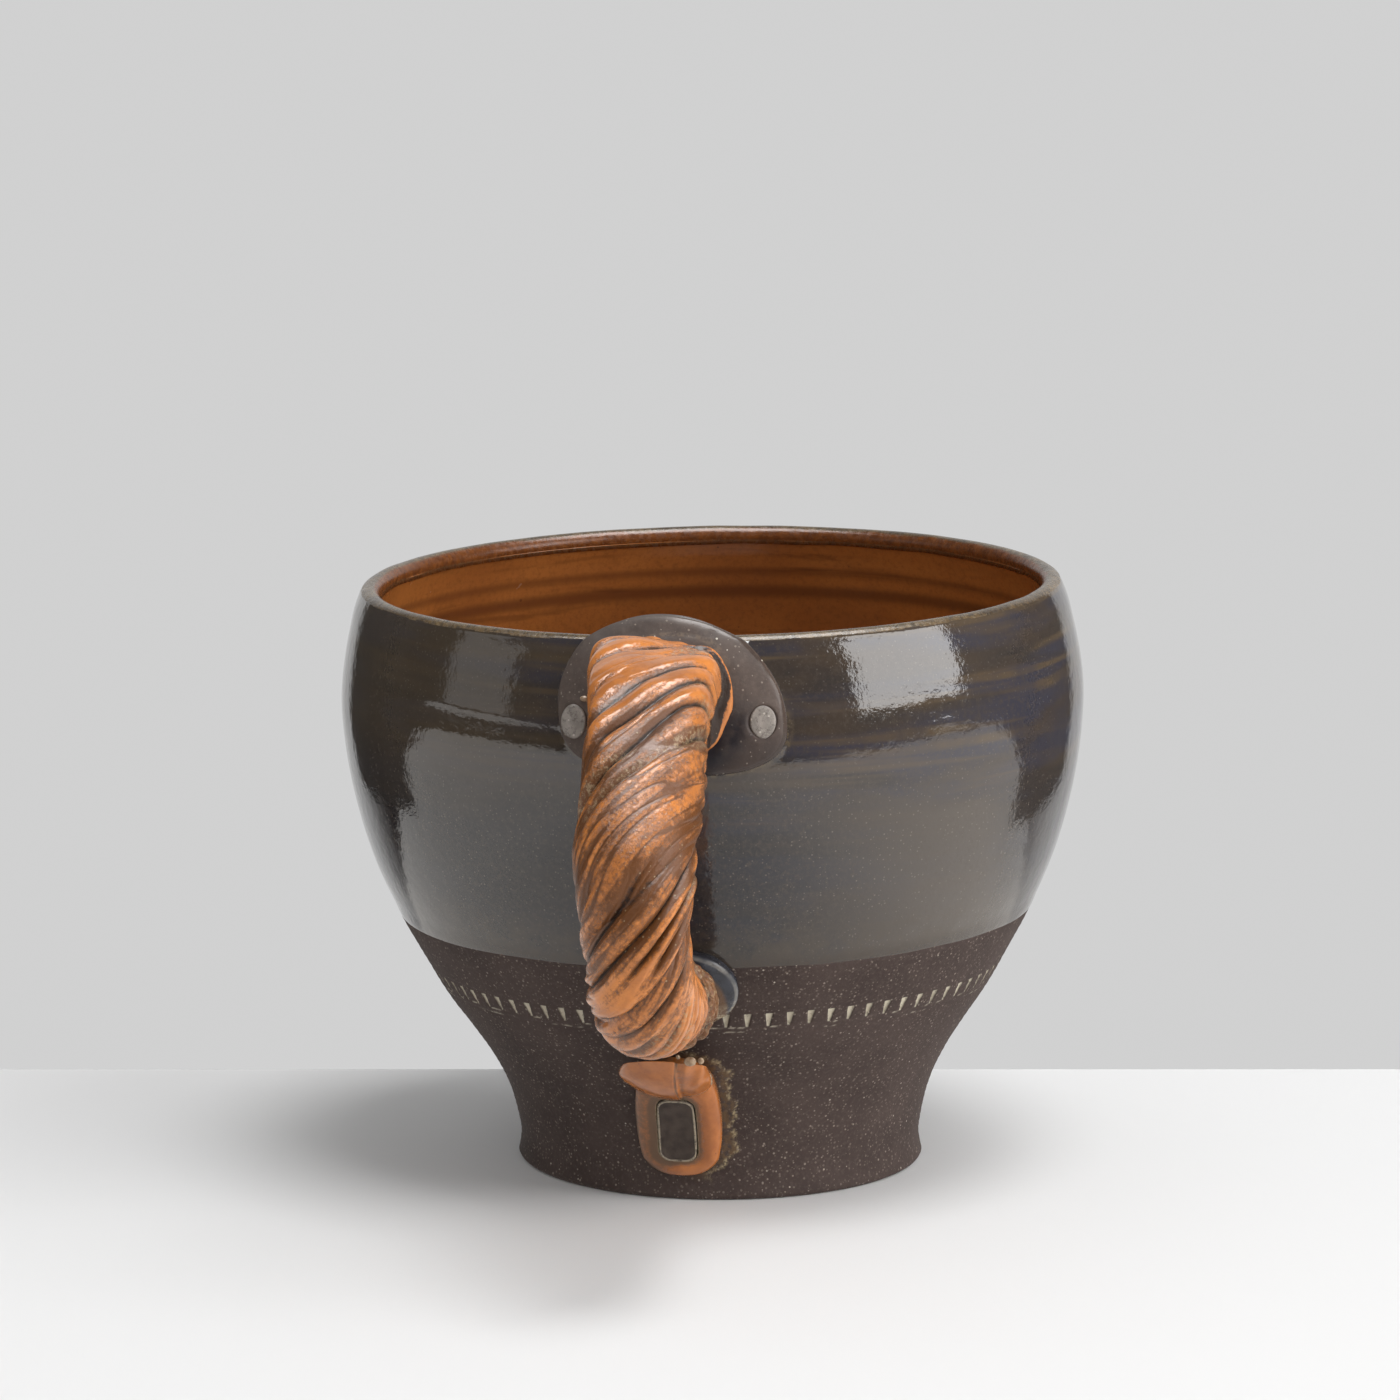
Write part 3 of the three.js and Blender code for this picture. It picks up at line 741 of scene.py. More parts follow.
def notchPlaces(height):
    # Angles of the mesh columns at a height; within each notch they follow the wedge's two sides
    n = notches
    pitch = 2 * math.pi / n["count"]
    rise = np.clip((height - n["toe"]) / n["height"], 0, 1)
    half = mixed(n["toeWidth"], n["topWidth"], rise) / 2 / wallRadius(n["band"])
    inside = np.linspace(-1, 1, n["acrossWedge"] + 1)
    outsideCount = n["columns"] - n["acrossWedge"]
    outside = np.linspace(0, 1, outsideCount + 1)[1:-1]
    gap = pitch - 2 * half
    one = np.concatenate([inside * half, half + outside * gap])
    share = np.concatenate([inside, np.full(outsideCount - 1, 2.0)])
    starts = (np.arange(n["count"]) + n["phase"]) * pitch
    return (starts[:, None] + one[None, :]).reshape(-1), np.tile(share, n["count"])


def notchDepthAt(height, share, number):
    n = notches
    v = (height - n["toe"]) / n["height"]
    within = smooth(0.0, 0.12, v) * near(0.94, 1.0, v)
    across = np.where(np.abs(share) <= 1, 1 - np.abs(share) ** 5, 0)
    press = 1 + 0.25 * np.sin(number * 1.7)
    return n["depth"] * press * across * within


def slipAt(z, angle, share, number, dip):
    # Pale slip: in the notches, in dashes between their toes and in a few lower dashes
    spot = ringLumps(angle / (2 * math.pi), 430, 51)
    dash = near(0.05, 0.16, np.abs(z - notches["toe"] + 0.05 - 0.08 * spot)) * smooth(-0.2, 0.3, spot)
    between = np.where(np.abs(share) > 1, dash, 0) * smooth(-0.2, 0.6, np.sin(number * 2.3 + 0.4)) * 0.75
    under = near(0.05, 0.16, np.abs(z - notches["toe"] + 0.85 - 0.1 * spot))
    under = under * smooth(0.5, 0.9, np.sin(number * 1.3)) * smooth(-0.3, 0.3, spot) * 0.5
    filled = smooth(0.02, 0.14, dip / notches["depth"])
    return np.clip(filled + between + under, 0, 1)


def washAt(z, across):
    # Brown wash and its pale edge, dried on the clay to the right of the tongue
    fromTongue = boxDistance(across, z, tongue)
    rightSide = smooth(-1, 3, across - tongue["middle"])
    reach = body["crustReach"] + 0.6 * np.sin(z * 0.9) + 0.4 * np.sin(z * 2.3 + 1)
    wash = near(reach * 0.7, reach, fromTongue) * rightSide * smooth(2.5, 6, z) * near(31, 36, z)
    edge = near(0.12, 0.4, np.abs(fromTongue - reach * 0.86)) * rightSide * smooth(2.5, 6, z)
    return wash, edge * near(28, 32, z)


def makeBody():
    b = body
    bandLow = notches["band"] - b["bandBelow"]
    bandHigh = notches["band"] + b["bandAbove"]
    bareTop = wall["glazeLine"] + b["aboveLine"]
    heights = np.concatenate([
        np.arange(wall["footBevel"], bandLow, b["rowStep"]),
        np.arange(bandLow, bandHigh, b["bandRowStep"]),
        np.arange(bandHigh, bareTop, b["rowStep"]),
    ])
    plain = notchPlaces(0)[0]
    number = np.repeat(np.arange(notches["count"]), notches["columns"])
    shell = Shell(len(plain), "slip", "wash", "washEdge")
    baseRadius = wall["radii"][0] - wall["footBevel"]
    for radius in np.linspace(2, baseRadius, b["baseRows"]):
        # Wire-cut swirl: shallow arcs drawn across the base
        swirl = np.sin(1.9 * (radius * np.cos(plain - 0.02 * radius)) + 0.15 * radius)
        lift = b["wireDepth"] * smooth(-0.2, 1, swirl) * near(baseRadius - 2, baseRadius, radius)
        shell.add(around(radius, lift, plain))
    for turn in np.linspace(0, math.pi / 2, b["bevelRows"])[1:-1]:
        radius = baseRadius + wall["footBevel"] * math.sin(turn) * 0.98
        shell.add(around(radius, wall["footBevel"] * (1 - math.cos(turn)), plain))
    for z in heights:
        angle, share = notchPlaces(z)
        across = sideOf(angle) * wallRadius(z)
        dip = notchDepthAt(z, share, number)
        tooled = b["toolDepth"] * throwingRing(z, angle, 3.0, 5)
        tooled = tooled + b["toolLines"] * np.sin(z * 5.2 + 0.6 * np.sin(angle))
        wash, washEdge = washAt(z, across)
        crust = b["crust"] * wash * (0.6 + 0.4 * lumps(across / 40 % 1, z / 100, 40, 120, 21))
        radius, height = offWall(z, tooled * smooth(1.2, 3, z) - dip + crust)
        slip = slipAt(z, angle, share, number, dip)
        shell.add(around(radius, height, angle), slip=slip, wash=wash, washEdge=washEdge)
    for z in [bareTop + 0.3, *np.arange(bareTop + 4, wallTop, 4)]:
        shell.add(around(*offWall(z, -b["underCoat"]), plain))
    for radius, height in lipPoints(b["underCoat"], 6) + insidePoints(b["underCoat"], 20, 8):
        shell.add(around(radius, height, plain))
    seat(skin("thrownBody", shell.rows, shell.marks), rawStoneware(), "raw_stoneware", "thrown_bowl")


def lipPoints(depth, steps):
    # The round of the lip, from the outside over to the inside, a depth under the finished face
    radius = wall["rimWall"] / 2 - depth
    centreRadius, centreHeight = offWall(wallTop, -wall["rimWall"] / 2)
    outward, upward = wallNormal(wallTop)
    start = math.atan2(upward, outward)
    turns = start + np.linspace(0, math.pi, steps + 1)
    return [(centreRadius + radius * math.cos(t), centreHeight + radius * math.sin(t)) for t in turns]


def insidePoints(depth, wallSteps, floorSteps):
    # From the lip down the inside and over the floor almost to the axis
    heights = np.linspace(wallTop, wall["ankle"], wallSteps + 1)
    radius, height = offWall(heights, depth - wallThickness(heights))
    floor = wall["floor"] - depth
    towards = np.array([radius[-1] - radius[-2], height[-1] - height[-2]])
    heel = np.array([radius[-1], height[-1]])
    corner = heel + towards * (floor - heel[1]) / towards[1]
    t = np.linspace(0, 0.97, floorSteps + 1)[1:, None]
    sweep = (1 - t) ** 2 * heel + 2 * t * (1 - t) * corner + t**2 * np.array([0, floor])
    return list(zip(radius, height)) + [tuple(point) for point in sweep]


# The dark coat outside, with its rolled lower edge and the lip where it breaks to tan

outerCoat = {
    "columns": 600,
    "edgeRows": [0, 0.06, 0.14, 0.24, 0.38, 0.55, 0.8, 1.1, 1.5, 2.0],
    "wallFrom": 2.5,
    "wallRows": 150,
    "lipRows": 30,
    "backRows": 24,
    "edgeWobble": 0.28,
    "edgeRoll": 0.17,
    "ringDepth": 0.016,
    "under": 0.42,
}
# Finger ridges on the shoulder: height at the handle's side, climb per radian, width, rise,
# and the angles between which they run
fingerRidges = [
    (80.3, -3.8, 1.0, 0.14, -1.15, -0.15),
    (77.4, -1.2, 1.3, 0.05, -1.15, -0.15),
    (79.3, 0.0, 0.7, 0.045, 0.66, 0.88),
    (82.0, 1.5, 1.0, 0.02, 0.35, 1.3),
]


def makeOuterCoat():
    o = outerCoat
    angle = fullTurn(o["columns"])
    turn = angle / (2 * math.pi)
    side = sideOf(angle)
    nearPad = (np.abs(angle - math.pi) > 2.4) * 1.0
    uneven = 0.6 * ringLumps(turn, 14, 3) + 0.4 * ringLumps(turn, 45, 4)
    bottom = wall["glazeLine"] + o["edgeWobble"] * uneven
    coatHeight = wallTop - wall["glazeLine"]
    shell = Shell(o["columns"], "ring", "edge", "seam", "amber", "lip")
    wallRows = o["wallFrom"] + (coatHeight - o["wallFrom"]) * np.linspace(0, 1, o["wallRows"])
    for up in [*o["edgeRows"], *wallRows]:
        z = bottom + up / coatHeight * (wallTop - bottom)
        ring = throwingRing(z, angle, 6.0, 11)
        swell = o["ringDepth"] * ring * smooth(1, 6, up) * near(90, wallTop, z)
        swell = swell + 0.03 * lumps(turn, z / 100, 26, 16, 8)
        for place, climb, width, rise, start, end in fingerRidges:
            runs = smooth(start, start + 0.12, side) * near(end - 0.12, end, side)
            swell = swell + rise * runs * np.exp(-((z - place - climb * side) / width) ** 2)
        roll = o["edgeRoll"] * math.sqrt(max(0.0, 1 - (1 - min(up / 0.45, 1)) ** 2))
        roll = roll * (1 - 0.75 * float(smooth(0.6, 3.0, up)))
        outside = -insideUpperPad(side * wallRadius(z), z)
        seam = near(0.3, 1.5, outside) * nearPad * smooth(-4, 3, upperPad["centre"] - z)
        bead = 0.18 * near(0.2, 0.9, outside) * nearPad
        standOff = -0.11 + roll * 0.9 + swell * (1 - bead) + bead
        shell.add(around(*offWall(z, standOff), angle), ring=ring, edge=near(0.4, 3.2, up), seam=seam)
    for step, (radius, height) in enumerate(lipPoints(0.06, o["lipRows"])[1:]):
        over = (step + 1) / o["lipRows"]
        past = smooth(0.50, 0.62, over + 0.05 * ringLumps(turn, 90, 18))
        shell.add(around(radius, height + 0.05 * ringLumps(turn, 60, 17), angle),
                  lip=smooth(0.0, 0.12, over), amber=past)
    skirt = 0.35 + 0.2 * ringLumps(turn, 40, 9)
    for down, depth in ((0.5, 0.0), (1.0, 0.1), (1.0, 0.45)):
        z = wallTop - down * skirt
        shell.add(around(*offWall(z, -wall["rimWall"] + 0.03 - depth), angle), lip=1, amber=1)
    for radius, height in reversed(lipPoints(o["under"], 6)[:-1]):
        shell.add(around(radius, height, angle))
    for share in np.linspace(0.97, 0, o["backRows"]):
        z = bottom + share * (wallTop - bottom)
        shell.add(around(*offWall(z, -o["under"] * float(smooth(0, 0.03, share)) - 0.08), angle))
    onLip = np.array(shell.marks.pop("lip")) + 0.3 * ringLumps(turn, 150, 19) > 0.55
    piece = skin("outerCoat", shell.rows, shell.marks, caps=False)
    seat(piece, darkGlaze(), "dark_glaze", "outer_glaze")
    piece.data.materials.append(lipGlaze())
    piece.data.polygons.foreach_set("material_index", onLip.astype(np.int32).reshape(-1))


# The amber coat inside, thrown rings showing as dark lines where it runs thin

linerCoat = {
    "columns": 420,
    "wallRows": 170,
    "floorRows": 60,
    "ringDepth": 0.16,
    "spiralDepth": 0.18,
    "thickness": 0.4,
}


def makeLinerCoat():
    c = linerCoat
    angle = fullTurn(c["columns"])
    turn = angle / (2 * math.pi)
    shell = Shell(c["columns"], "ring", "edge")
    for radius, height in reversed(insidePoints(0, c["wallRows"], c["floorRows"])):
        ring = throwingRing(height + 0.1 * radius, angle, 4.5, 31)
        line = smooth(0.45, 0.8, ring) * smooth(0.1, 0.5, lumps(turn, 0 * turn + height / 100, 3, 14, 33))
        push = c["ringDepth"] * ring * smooth(2, 12, radius) * near(wallTop - 3, wallTop, height)
        spiral = c["spiralDepth"] * math.sin(radius * 1.1) * near(8, 20, radius) * smooth(0.5, 4, radius)
        inward = smooth(wall["floor"] + 1, wall["ankle"], height)
        tuck = 0.12 * smooth(wallTop - 0.5, wallTop, height)
        shell.add(around(radius - push * inward + tuck, height + push * (1 - inward) + spiral, angle),
                  ring=line, edge=smooth(wallTop - 1.2, wallTop - 0.2, height))
    for radius, height in insidePoints(c["thickness"], 30, 10):
        shell.add(around(radius, height, angle))
    seat(skin("linerCoat", shell.rows, shell.marks), amberGlaze(), "amber_glaze", "liner_glaze")


# Handle line, within 2 mm of the solid's: out of the upper pad, round the grip
# and back to the lower pad

handle = {
    "radius": 9.5,
    "sectionRadius": 8.8,
    "rootRadius": 8.9,
    "lowRadius": 7.5,
    "endRadius": 6.8,
    "elbowExponent": 6.0,
    "fingerGap": 33.0,
    "upperBelowRim": 9.9,
    "lowerHeight": 36.4,
    "upperOffset": 0.7,
    "gripOffset": -0.35,
    "lowerOffset": -0.9,
    "twistLead": 47.0,
    "twistLeadAtRoot": 84.0,
    "upperArm": [(0.22, 0.0), (0.55, -0.058), (0.82, -0.212), (1.0, -0.408)],
    "lowerArm": [(0.99, 0.38), (0.87, 0.22), (0.64, 0.13), (0.32, 0.072)],
    "endSag": 1.6,
    "rollPitch": 3.1,
    "roll": 0.45,
    "ring": 1.0,
    "ringAt": 4.4,
    "neck": 2.4,
    "neckFrom": 6.2,
    "neckTo": 34.0,
    "darkTo": 9.5,
    "ringsAlong": 640,
    "pointsAround": 360,
}


def handleLine():
    h = handle
    upperHeight = rimHeight - h["upperBelowRim"]
    upperFace = float(wallRadius(upperHeight)) + upperPad["thickness"]
    lowerFace = float(wallRadius(h["lowerHeight"])) + lowerPad["thickness"]
    reach = wall["radii"][5] + h["fingerGap"] + h["radius"]
    span = upperHeight - h["lowerHeight"]
    points = [(h["upperOffset"], -(upperFace - upperPad["thickness"]), upperHeight)]
    points += [(h["gripOffset"], -mixed(upperFace, reach, out), upperHeight + rise * span)
               for out, rise in h["upperArm"]]
    points += [(h["gripOffset"], -mixed(lowerFace, reach, out), h["lowerHeight"] + rise * span)
               for out, rise in h["lowerArm"]]
    points += [(h["lowerOffset"], -(lowerFace - lowerPad["thickness"]), h["lowerHeight"])]
    p = np.array(points)
    p = np.vstack([2 * p[0] - p[1], p, 2 * p[-1] - p[-2]])
    line = []
    for i in range(1, len(p) - 2):
        a, b, c, d = p[i - 1:i + 3]
        before, here, after = (np.linalg.norm(q - r) ** 0.5 for q, r in ((b, a), (c, b), (d, c)))
        leave = ((b - a) / before - (c - a) / (before + here) + (c - b) / here) * here
        arrive = ((c - b) / here - (d - b) / (here + after) + (d - c) / after) * here
        t = np.linspace(0, 1, 80, endpoint=False)[:, None]
        line.append(b * (2 * t**3 - 3 * t**2 + 1) + leave * (t**3 - 2 * t**2 + t)
                    + c * (3 * t**2 - 2 * t**3) + arrive * (t**3 - t**2))
    line = np.vstack([*line, p[-2:-1]])
    steps = np.concatenate([[0], np.cumsum(np.linalg.norm(np.diff(line, axis=0), axis=1))])
    return line, steps


def handleSection(share):
    # Thickest at the upper root, drawn in below the grip and again at the lower root
    h = handle
    root = (h["rootRadius"] - h["sectionRadius"]) * near(0, 0.2, share)
    low = (h["lowRadius"] - h["sectionRadius"]) * smooth(0.38, 0.50, share)
    end = (h["endRadius"] - h["lowRadius"]) * smooth(0.62, 0.85, share)
    return h["sectionRadius"] + root + low + end


def elbow(angle, s):
    # How square the section is at the bend
    exponent = 2 + (handle["elbowExponent"] - 2) * smooth(0.025, 0.07, s) * near(0.17, 0.36, s)
    return (np.abs(np.cos(angle)) ** exponent + np.abs(np.sin(angle)) ** exponent) ** (-1 / exponent)


def cornerPush(angle, s):
    # The bend's corners pulled out, and the lower root pressed in under the hand
    up = np.maximum(np.sin(angle), 0)
    leftward = np.maximum(-np.cos(angle), 0)
    rightward = np.maximum(np.cos(angle), 0)
    push = (0.35 * up + (3.6 * leftward - 0.4 * rightward) * up) * near(0.11, 0.24, s)
    push = push - 1.1 * leftward * smooth(0.06, 0.10, s) * near(0.20, 0.30, s)
    push = push - 0.9 * up * smooth(0.62, 0.74, s) * near(0.86, 0.93, s)
    return push - (1.5 * up + 0.9 * rightward) * smooth(0.89, 0.94, s)


def rootForms(turn, s, angle, out):
    # The root: a thin rolled ring on the pad, then a neck drawn in on the right and underneath before the
    # bend, and a ragged patch of painted shade over the neck's right side
    h = handle
    ringSide = smooth(0.35, 0.75, np.cos(angle - 0.12)) * smooth(-0.45, -0.05, np.sin(angle))
    ring = h["ring"] * near(0.25, 0.85, np.abs(out - h["ringAt"])) * ringSide
    ringAt, neckFrom = h["ringAt"], h["neckFrom"]
    neck = smooth(ringAt + 0.4, neckFrom, out) * near(neckFrom + 1.2, neckFrom + 3.4, out)
    under = near(-0.2, 0.3, np.sin(angle)) * smooth(-0.1, 0.4, np.cos(angle))
    under = under * near(10, h["neckTo"], out) * smooth(ringAt - 0.5, neckFrom, out)
    neck = np.maximum(neck * smooth(0.1, 0.8, np.cos(angle)) * 0.6, under)
    darkTo = h["darkTo"] + 3.0 * lumps(turn, s, 13, 40, 415)
    dark = smooth(ringAt + 0.15, ringAt + 0.6, out) * near(darkTo - 4.5, darkTo + 3.0, out)
    ragged = 0.3 * lumps(turn, s, 26, 90, 417)
    return ring, neck, dark * smooth(0.1, 0.8, np.cos(angle) + ragged)


def makeHandle():
    h = handle
    line, steps = handleLine()
    length = steps[-1]
    share = np.linspace(0, 1, h["ringsAlong"] + 1)
    middle = np.stack([np.interp(share * length, steps, line[:, k]) for k in range(3)], -1)
    middle[:, 2] -= h["endSag"] * smooth(0.84, 0.94, share)
    tangent = np.gradient(middle, axis=0)
    tangent /= np.linalg.norm(tangent, axis=1)[:, None]
    sideways = np.array([1.0, 0, 0])
    outward = np.cross(tangent, sideways)
    extra = 0.2 * (h["twistLead"] / h["twistLeadAtRoot"] - 1)
    twist = length / h["twistLead"] * (share + extra * smooth(0, 0.4, share))
    turn, s = np.meshgrid(np.linspace(0, 1, h["pointsAround"], endpoint=False), share)
    out = s * length
    angle = 2 * math.pi * (turn + twist[:, None])
    relief, hollowGlazeAndShade, thin, lace = strandRelief(turn, s)
    ring, neck, dark = rootForms(turn, s, angle, out)
    wave = np.sin((length - out) * 2 * math.pi / h["rollPitch"])
    rolls = h["roll"] * wave * smooth(0.76, 0.82, s)
    fade = smooth(3.5, 9, out)
    full = (handleSection(share)[:, None] * elbow(angle, s) + relief * (0.25 + 0.75 * fade)
            + cornerPush(angle, s) + ring - h["neck"] * neck + rolls)
    rows = (middle[:, None, :]
            + sideways * (full * np.cos(angle))[..., None]
            + outward[:, None, :] * (full * np.sin(angle))[..., None])
    # The neck and the rope's underside by the root join the dark hollows: painted shade there
    hollowGlazeAndShade = hollowGlazeAndShade * (0.2 + 0.8 * fade) + 1.2 * neck * near(10, 16, out)
    hollowGlazeAndShade = np.clip(np.maximum(hollowGlazeAndShade, 1.3 * dark), 0, 1.3)
    # The brown, rolled end that tucks in at the lower root, with painted shade in the troughs of its rolls
    ending = smooth(0.735, 0.785, s) * smooth(0.05, 0.55, np.cos(angle))
    marks = {
        "hollowGlazeAndShade": np.maximum(hollowGlazeAndShade, ending * (0.5 - 0.5 * wave)),
        "thin": np.clip(thin * fade + 0.8 * ending, 0, 1.2),
        "lace": np.maximum(lace * fade, ending * (0.4 + 0.6 * smooth(0.0, 0.8, wave))),
    }
    seat(skin("twistHandle", rows, marks), rustGlaze(), "rust_glaze", "handle_twist")


# Strands of the twist, like wrung cloth: two sets of creases that cross at a small angle,
# each open in some places and closed in others, so the ridges end in points
strands = {
    "count": 11,
    "depth": 1.45,
    "crossCount": 9,
    "crossDrift": -0.75,
    "crossDepth": 1.25,
    "fineAround": 34,
    "fineAlong": 20,
    "fineDepth": 0.18,
    "lift": 0.66,
}


def strandRelief(turn, s):
    # Height of the twist over its plain section, how dark its hollows go, from glaze pooled there and
    # painted shade, how thin the glaze lies, and where it breaks to pale lace
    k = strands
    warp = 0.026 * lumps(turn, s, 4, 7, 401) + 0.012 * lumps(turn, s, 10, 18, 402)
    across = turn + warp + 0.0025 * lumps(turn, s, 30, 70, 412)
    first = np.abs(np.sin(math.pi * k["count"] * across + 1.6 * lumps(turn, s, 4, 7, 403)))
    second = np.abs(np.sin(math.pi * k["crossCount"] * (across + k["crossDrift"] * s)
                           + 1.6 * lumps(turn, s, 4, 7, 404)))
    third = np.abs(lumps(across, s, k["fineAround"], k["fineAlong"], 405))
    openFirst = smooth(-0.55, 0.35, lumps(turn, s, 7, 13, 410))
    openSecond = smooth(-0.25, 0.60, lumps(turn, s, 6, 12, 411))
    tops = ((first, 0.95), (second, 0.95), (third, 0.4))
    rises = [np.clip(value / top, 0, 1) ** 0.62 for value, top in tops]
    strength = 0.75 + 0.25 * smooth(0.16, 0.3, s)
    relief = (k["depth"] * (rises[0] - 1) * openFirst + k["crossDepth"] * (rises[1] - 1) * openSecond
              + k["fineDepth"] * (rises[2] - 1)) * strength + k["lift"]
    relief = relief + 0.38 * lumps(turn, s, 5, 11, 406) + 0.16 * lumps(across, s, 15, 30, 414)
    # Brown spreads over the broad valleys round the creases: thinner glaze, and painted shade
    low = np.maximum((1 - first) ** 1.2 * openFirst, (1 - second) ** 1.3 * openSecond)
    creases = np.maximum(near(0.06, 0.42, first) * openFirst, near(0.05, 0.36, second) * openSecond)
    streak = (lumps(turn, s, 34, 12, 407) * 0.5 + lumps(turn, s, 76, 26, 408) * 0.3
              + lumps(turn, s, 150, 50, 413) * 0.3)
    patches = smooth(0.15, 0.65, lumps(turn, s, 7, 9, 409) + 0.45 * streak) * smooth(0.2, 0.32, s)
    middle = smooth(0.18, 0.28, s) * near(0.44, 0.56, s)
    lower = smooth(0.50, 0.62, s)
    fineLow = near(0.04, 0.22, third) * (0.06 + 0.40 * middle)
    thin = 0.50 * middle - 0.02 - 0.06 * lower + 0.46 * streak + 0.30 * patches
    thin = thin + (1.0 - 0.35 * lower) * low + fineLow
    lace = smooth(0.15, 0.55, lumps(turn, s, 7, 12, 416)) * smooth(0.02, 0.22, low)
    return relief, np.clip(creases * (1 - 0.35 * lower), 0, 1), np.clip(thin, 0, 1.2), lace


# Sprigged slabs: rings from the hidden back, round the edge and over the face to the middle,
# close together at the rolled edge and wider over the face

def slab(pad, outline, middle, relief):
    across, height = outline(fullTurn(pad["columns"]))
    rows, acrosses, heights = [], [], []

    def ring(share, standOff):
        a = mixed(middle[0], across, share)
        z = mixed(middle[1], height, share)
        rows.append(onWall(a, z, standOff(a, z) + 0 * a))
        acrosses.append(a)
        heights.append(z)

    for share, standOff in ((0.5, pad["back"]), (1.0, pad["back"]), (1.0, pad["edge"] * 0.5)):
        ring(share, lambda a, z: standOff)
    for share in np.sin(np.linspace(math.pi / 2, math.asin(0.02), pad["rows"])):
        crown = pad["edge"] + (pad["thickness"] - pad["edge"]) * (1 - share ** pad["fullness"]) ** 0.5
        ring(share, lambda a, z: crown + relief(a, z))
    return rows, np.array(acrosses), np.array(heights)


rivets = {
    "radius": 2.15,
    "spread": 13.9,
    "drop": 0.6,
    "proud": 0.25,
    "depth": 2.0,
    "belowFace": 0.35,
    "columns": 72,
    "crownRows": 14,
}


def makeUpperPad():
    pad = upperPad
    rootHeight = rimHeight - handle["upperBelowRim"]

    def relief(a, z):
        u, v = a / 40 % 1, (z - 60) / 50
        wave = 0.14 * lumps(u, v, 9, 11, 61) + 0.06 * lumps(u, v, 24, 30, 62)
        for side in (-1, 1):
            away = np.hypot(a - side * rivets["spread"], z - (pad["centre"] - rivets["drop"]))
            wave = wave - pad["rivetDimple"] * near(rivets["radius"] - 0.3, rivets["radius"] + 0.3, away)
            wave = wave + 0.05 * near(0.2, 0.8, np.abs(away - rivets["radius"] - 0.7))
        return wave

    rows, a, z = slab(pad, upperPadOutline, (pad["offset"], pad["centre"]), relief)
    fromRoot = np.hypot(a - handle["upperOffset"], z - rootHeight) - handle["rootRadius"]
    marks = {
        "crown": smooth(4, 9, z - pad["centre"]),
        "bead": near(0.25, 0.75, np.abs(fromRoot - 0.5)) * smooth(3, 7, z - rootHeight),
        # Glaze pooled beside and under the root, and painted shade of the rope there
        "poolAndShade": near(1.5, 5.0, fromRoot) * near(-6, 2, z - rootHeight) * smooth(-3, 2, a),
        "edge": near(0.2, 1.6, insideUpperPad(a, z)) * smooth(-3, 6, a),
        # Painted shade over the pad's lower right
        "low": smooth(-1, 7, pad["centre"] + 1 - z) * smooth(-6, 4, a),
    }
    seat(skin("upperPad", rows, marks), padClay(), "pad_clay", "upper_pad")


def makeRivets():
    r = rivets
    finish = paleClay()
    angle = fullTurn(r["columns"])
    height = upperPad["centre"] - r["drop"]
    face = upperPad["thickness"] - r["belowFace"] + r["proud"]
    profile = [(0.3, -r["depth"]), (1.0, -r["depth"]), (1.0, -0.35), (0.985, -0.15), (0.94, -0.03)]
    profile += [(share, 0.06 * (1 - share**2)) for share in np.linspace(0.88, 0.04, r["crownRows"])]
    for side, name, node in ((-1, "rivetLeft", "rivet_left"), (1, "rivetRight", "rivet_right")):
        uneven = 1 + 0.05 * ringLumps(angle / (2 * math.pi), 5, 71 + side)
        shell = Shell(r["columns"], "edge")
        for share, rise in profile:
            radius = r["radius"] * share * uneven
            a = side * r["spread"] + 0.9 * radius * np.cos(angle)
            z = height + 1.13 * radius * np.sin(angle)
            dent = 0.05 * lumps(a / 10 % 1, (z - 70) / 30, 8, 24, 75 + side) * (rise > -0.1)
            shell.add(onWall(a, z, face + rise + dent), edge=smooth(0.9, 1.0, share))
        seat(skin(name, shell.rows, shell.marks), finish, "pale_clay", node)


def makeLowerPad():
    pad = lowerPad

    def outline(angle):
        return pad["halfWidth"] * np.cos(angle), pad["height"] + pad["halfHeight"] * np.sin(angle)

    def relief(a, z):
        return 0.12 * lumps(a / 30 % 1, (z - 25) / 30, 8, 8, 81)

    rows, a, z = slab(pad, outline, (0, pad["height"]), relief)
    reach = np.hypot(a / pad["halfWidth"], (z - pad["height"]) / pad["halfHeight"])
    fromRoot = np.hypot(a - handle["lowerOffset"], z - handle["lowerHeight"]) - handle["endRadius"]
    marks = {
        "edge": near(0.012, 0.045, np.abs(reach - 0.955)) * 0.5,
        "collar": near(0.5, 1.3, fromRoot),
        "lace": smooth(-2.0, 1.5, 35.5 - z) * smooth(2, 5, a),
    }
    seat(skin("lowerPad", rows, marks), slateGlaze(), "slate_glaze", "lower_pad")


def makeTongue():
    t = tongue

    def relief(a, z):
        fromPanel = boxDistance(a, z, panel)
        recess = -panel["depth"] * near(0.0, 0.14, fromPanel)
        dish = -t["dish"] * near(0.3, 2.2, fromPanel)
        rightRoll = t["rightRoll"] * near(0, 2.4, np.abs(a - t["middle"] - 5.0))
        return recess + dish + rightRoll + 0.10 * lumps(a / 30 % 1, z / 40, 12, 14, 91)

    middle = (t["middle"], (t["foot"] + t["top"]) / 2)
    rows, a, z = slab(t, lambda angle: boxOutline(angle, t), middle, relief)
    fromPanel = boxDistance(a, z, panel)
    aroundPanel = near(0.1, 1.8, fromPanel) * 0.75
    leftBrown = 0.55 * smooth(0, 3, t["middle"] - a)
    atEdge = 0.4 * near(0, 0.7, -boxDistance(a, z, t))
    marks = {
        "thin": np.clip(aroundPanel + leftBrown + atEdge, 0, 1),
        "cream": near(0.1, 0.3, fromPanel) * 0.8,
    }
    seat(skin("tongueTail", rows, marks), tongueGlaze(), "tongue_glaze", "tail_tongue")


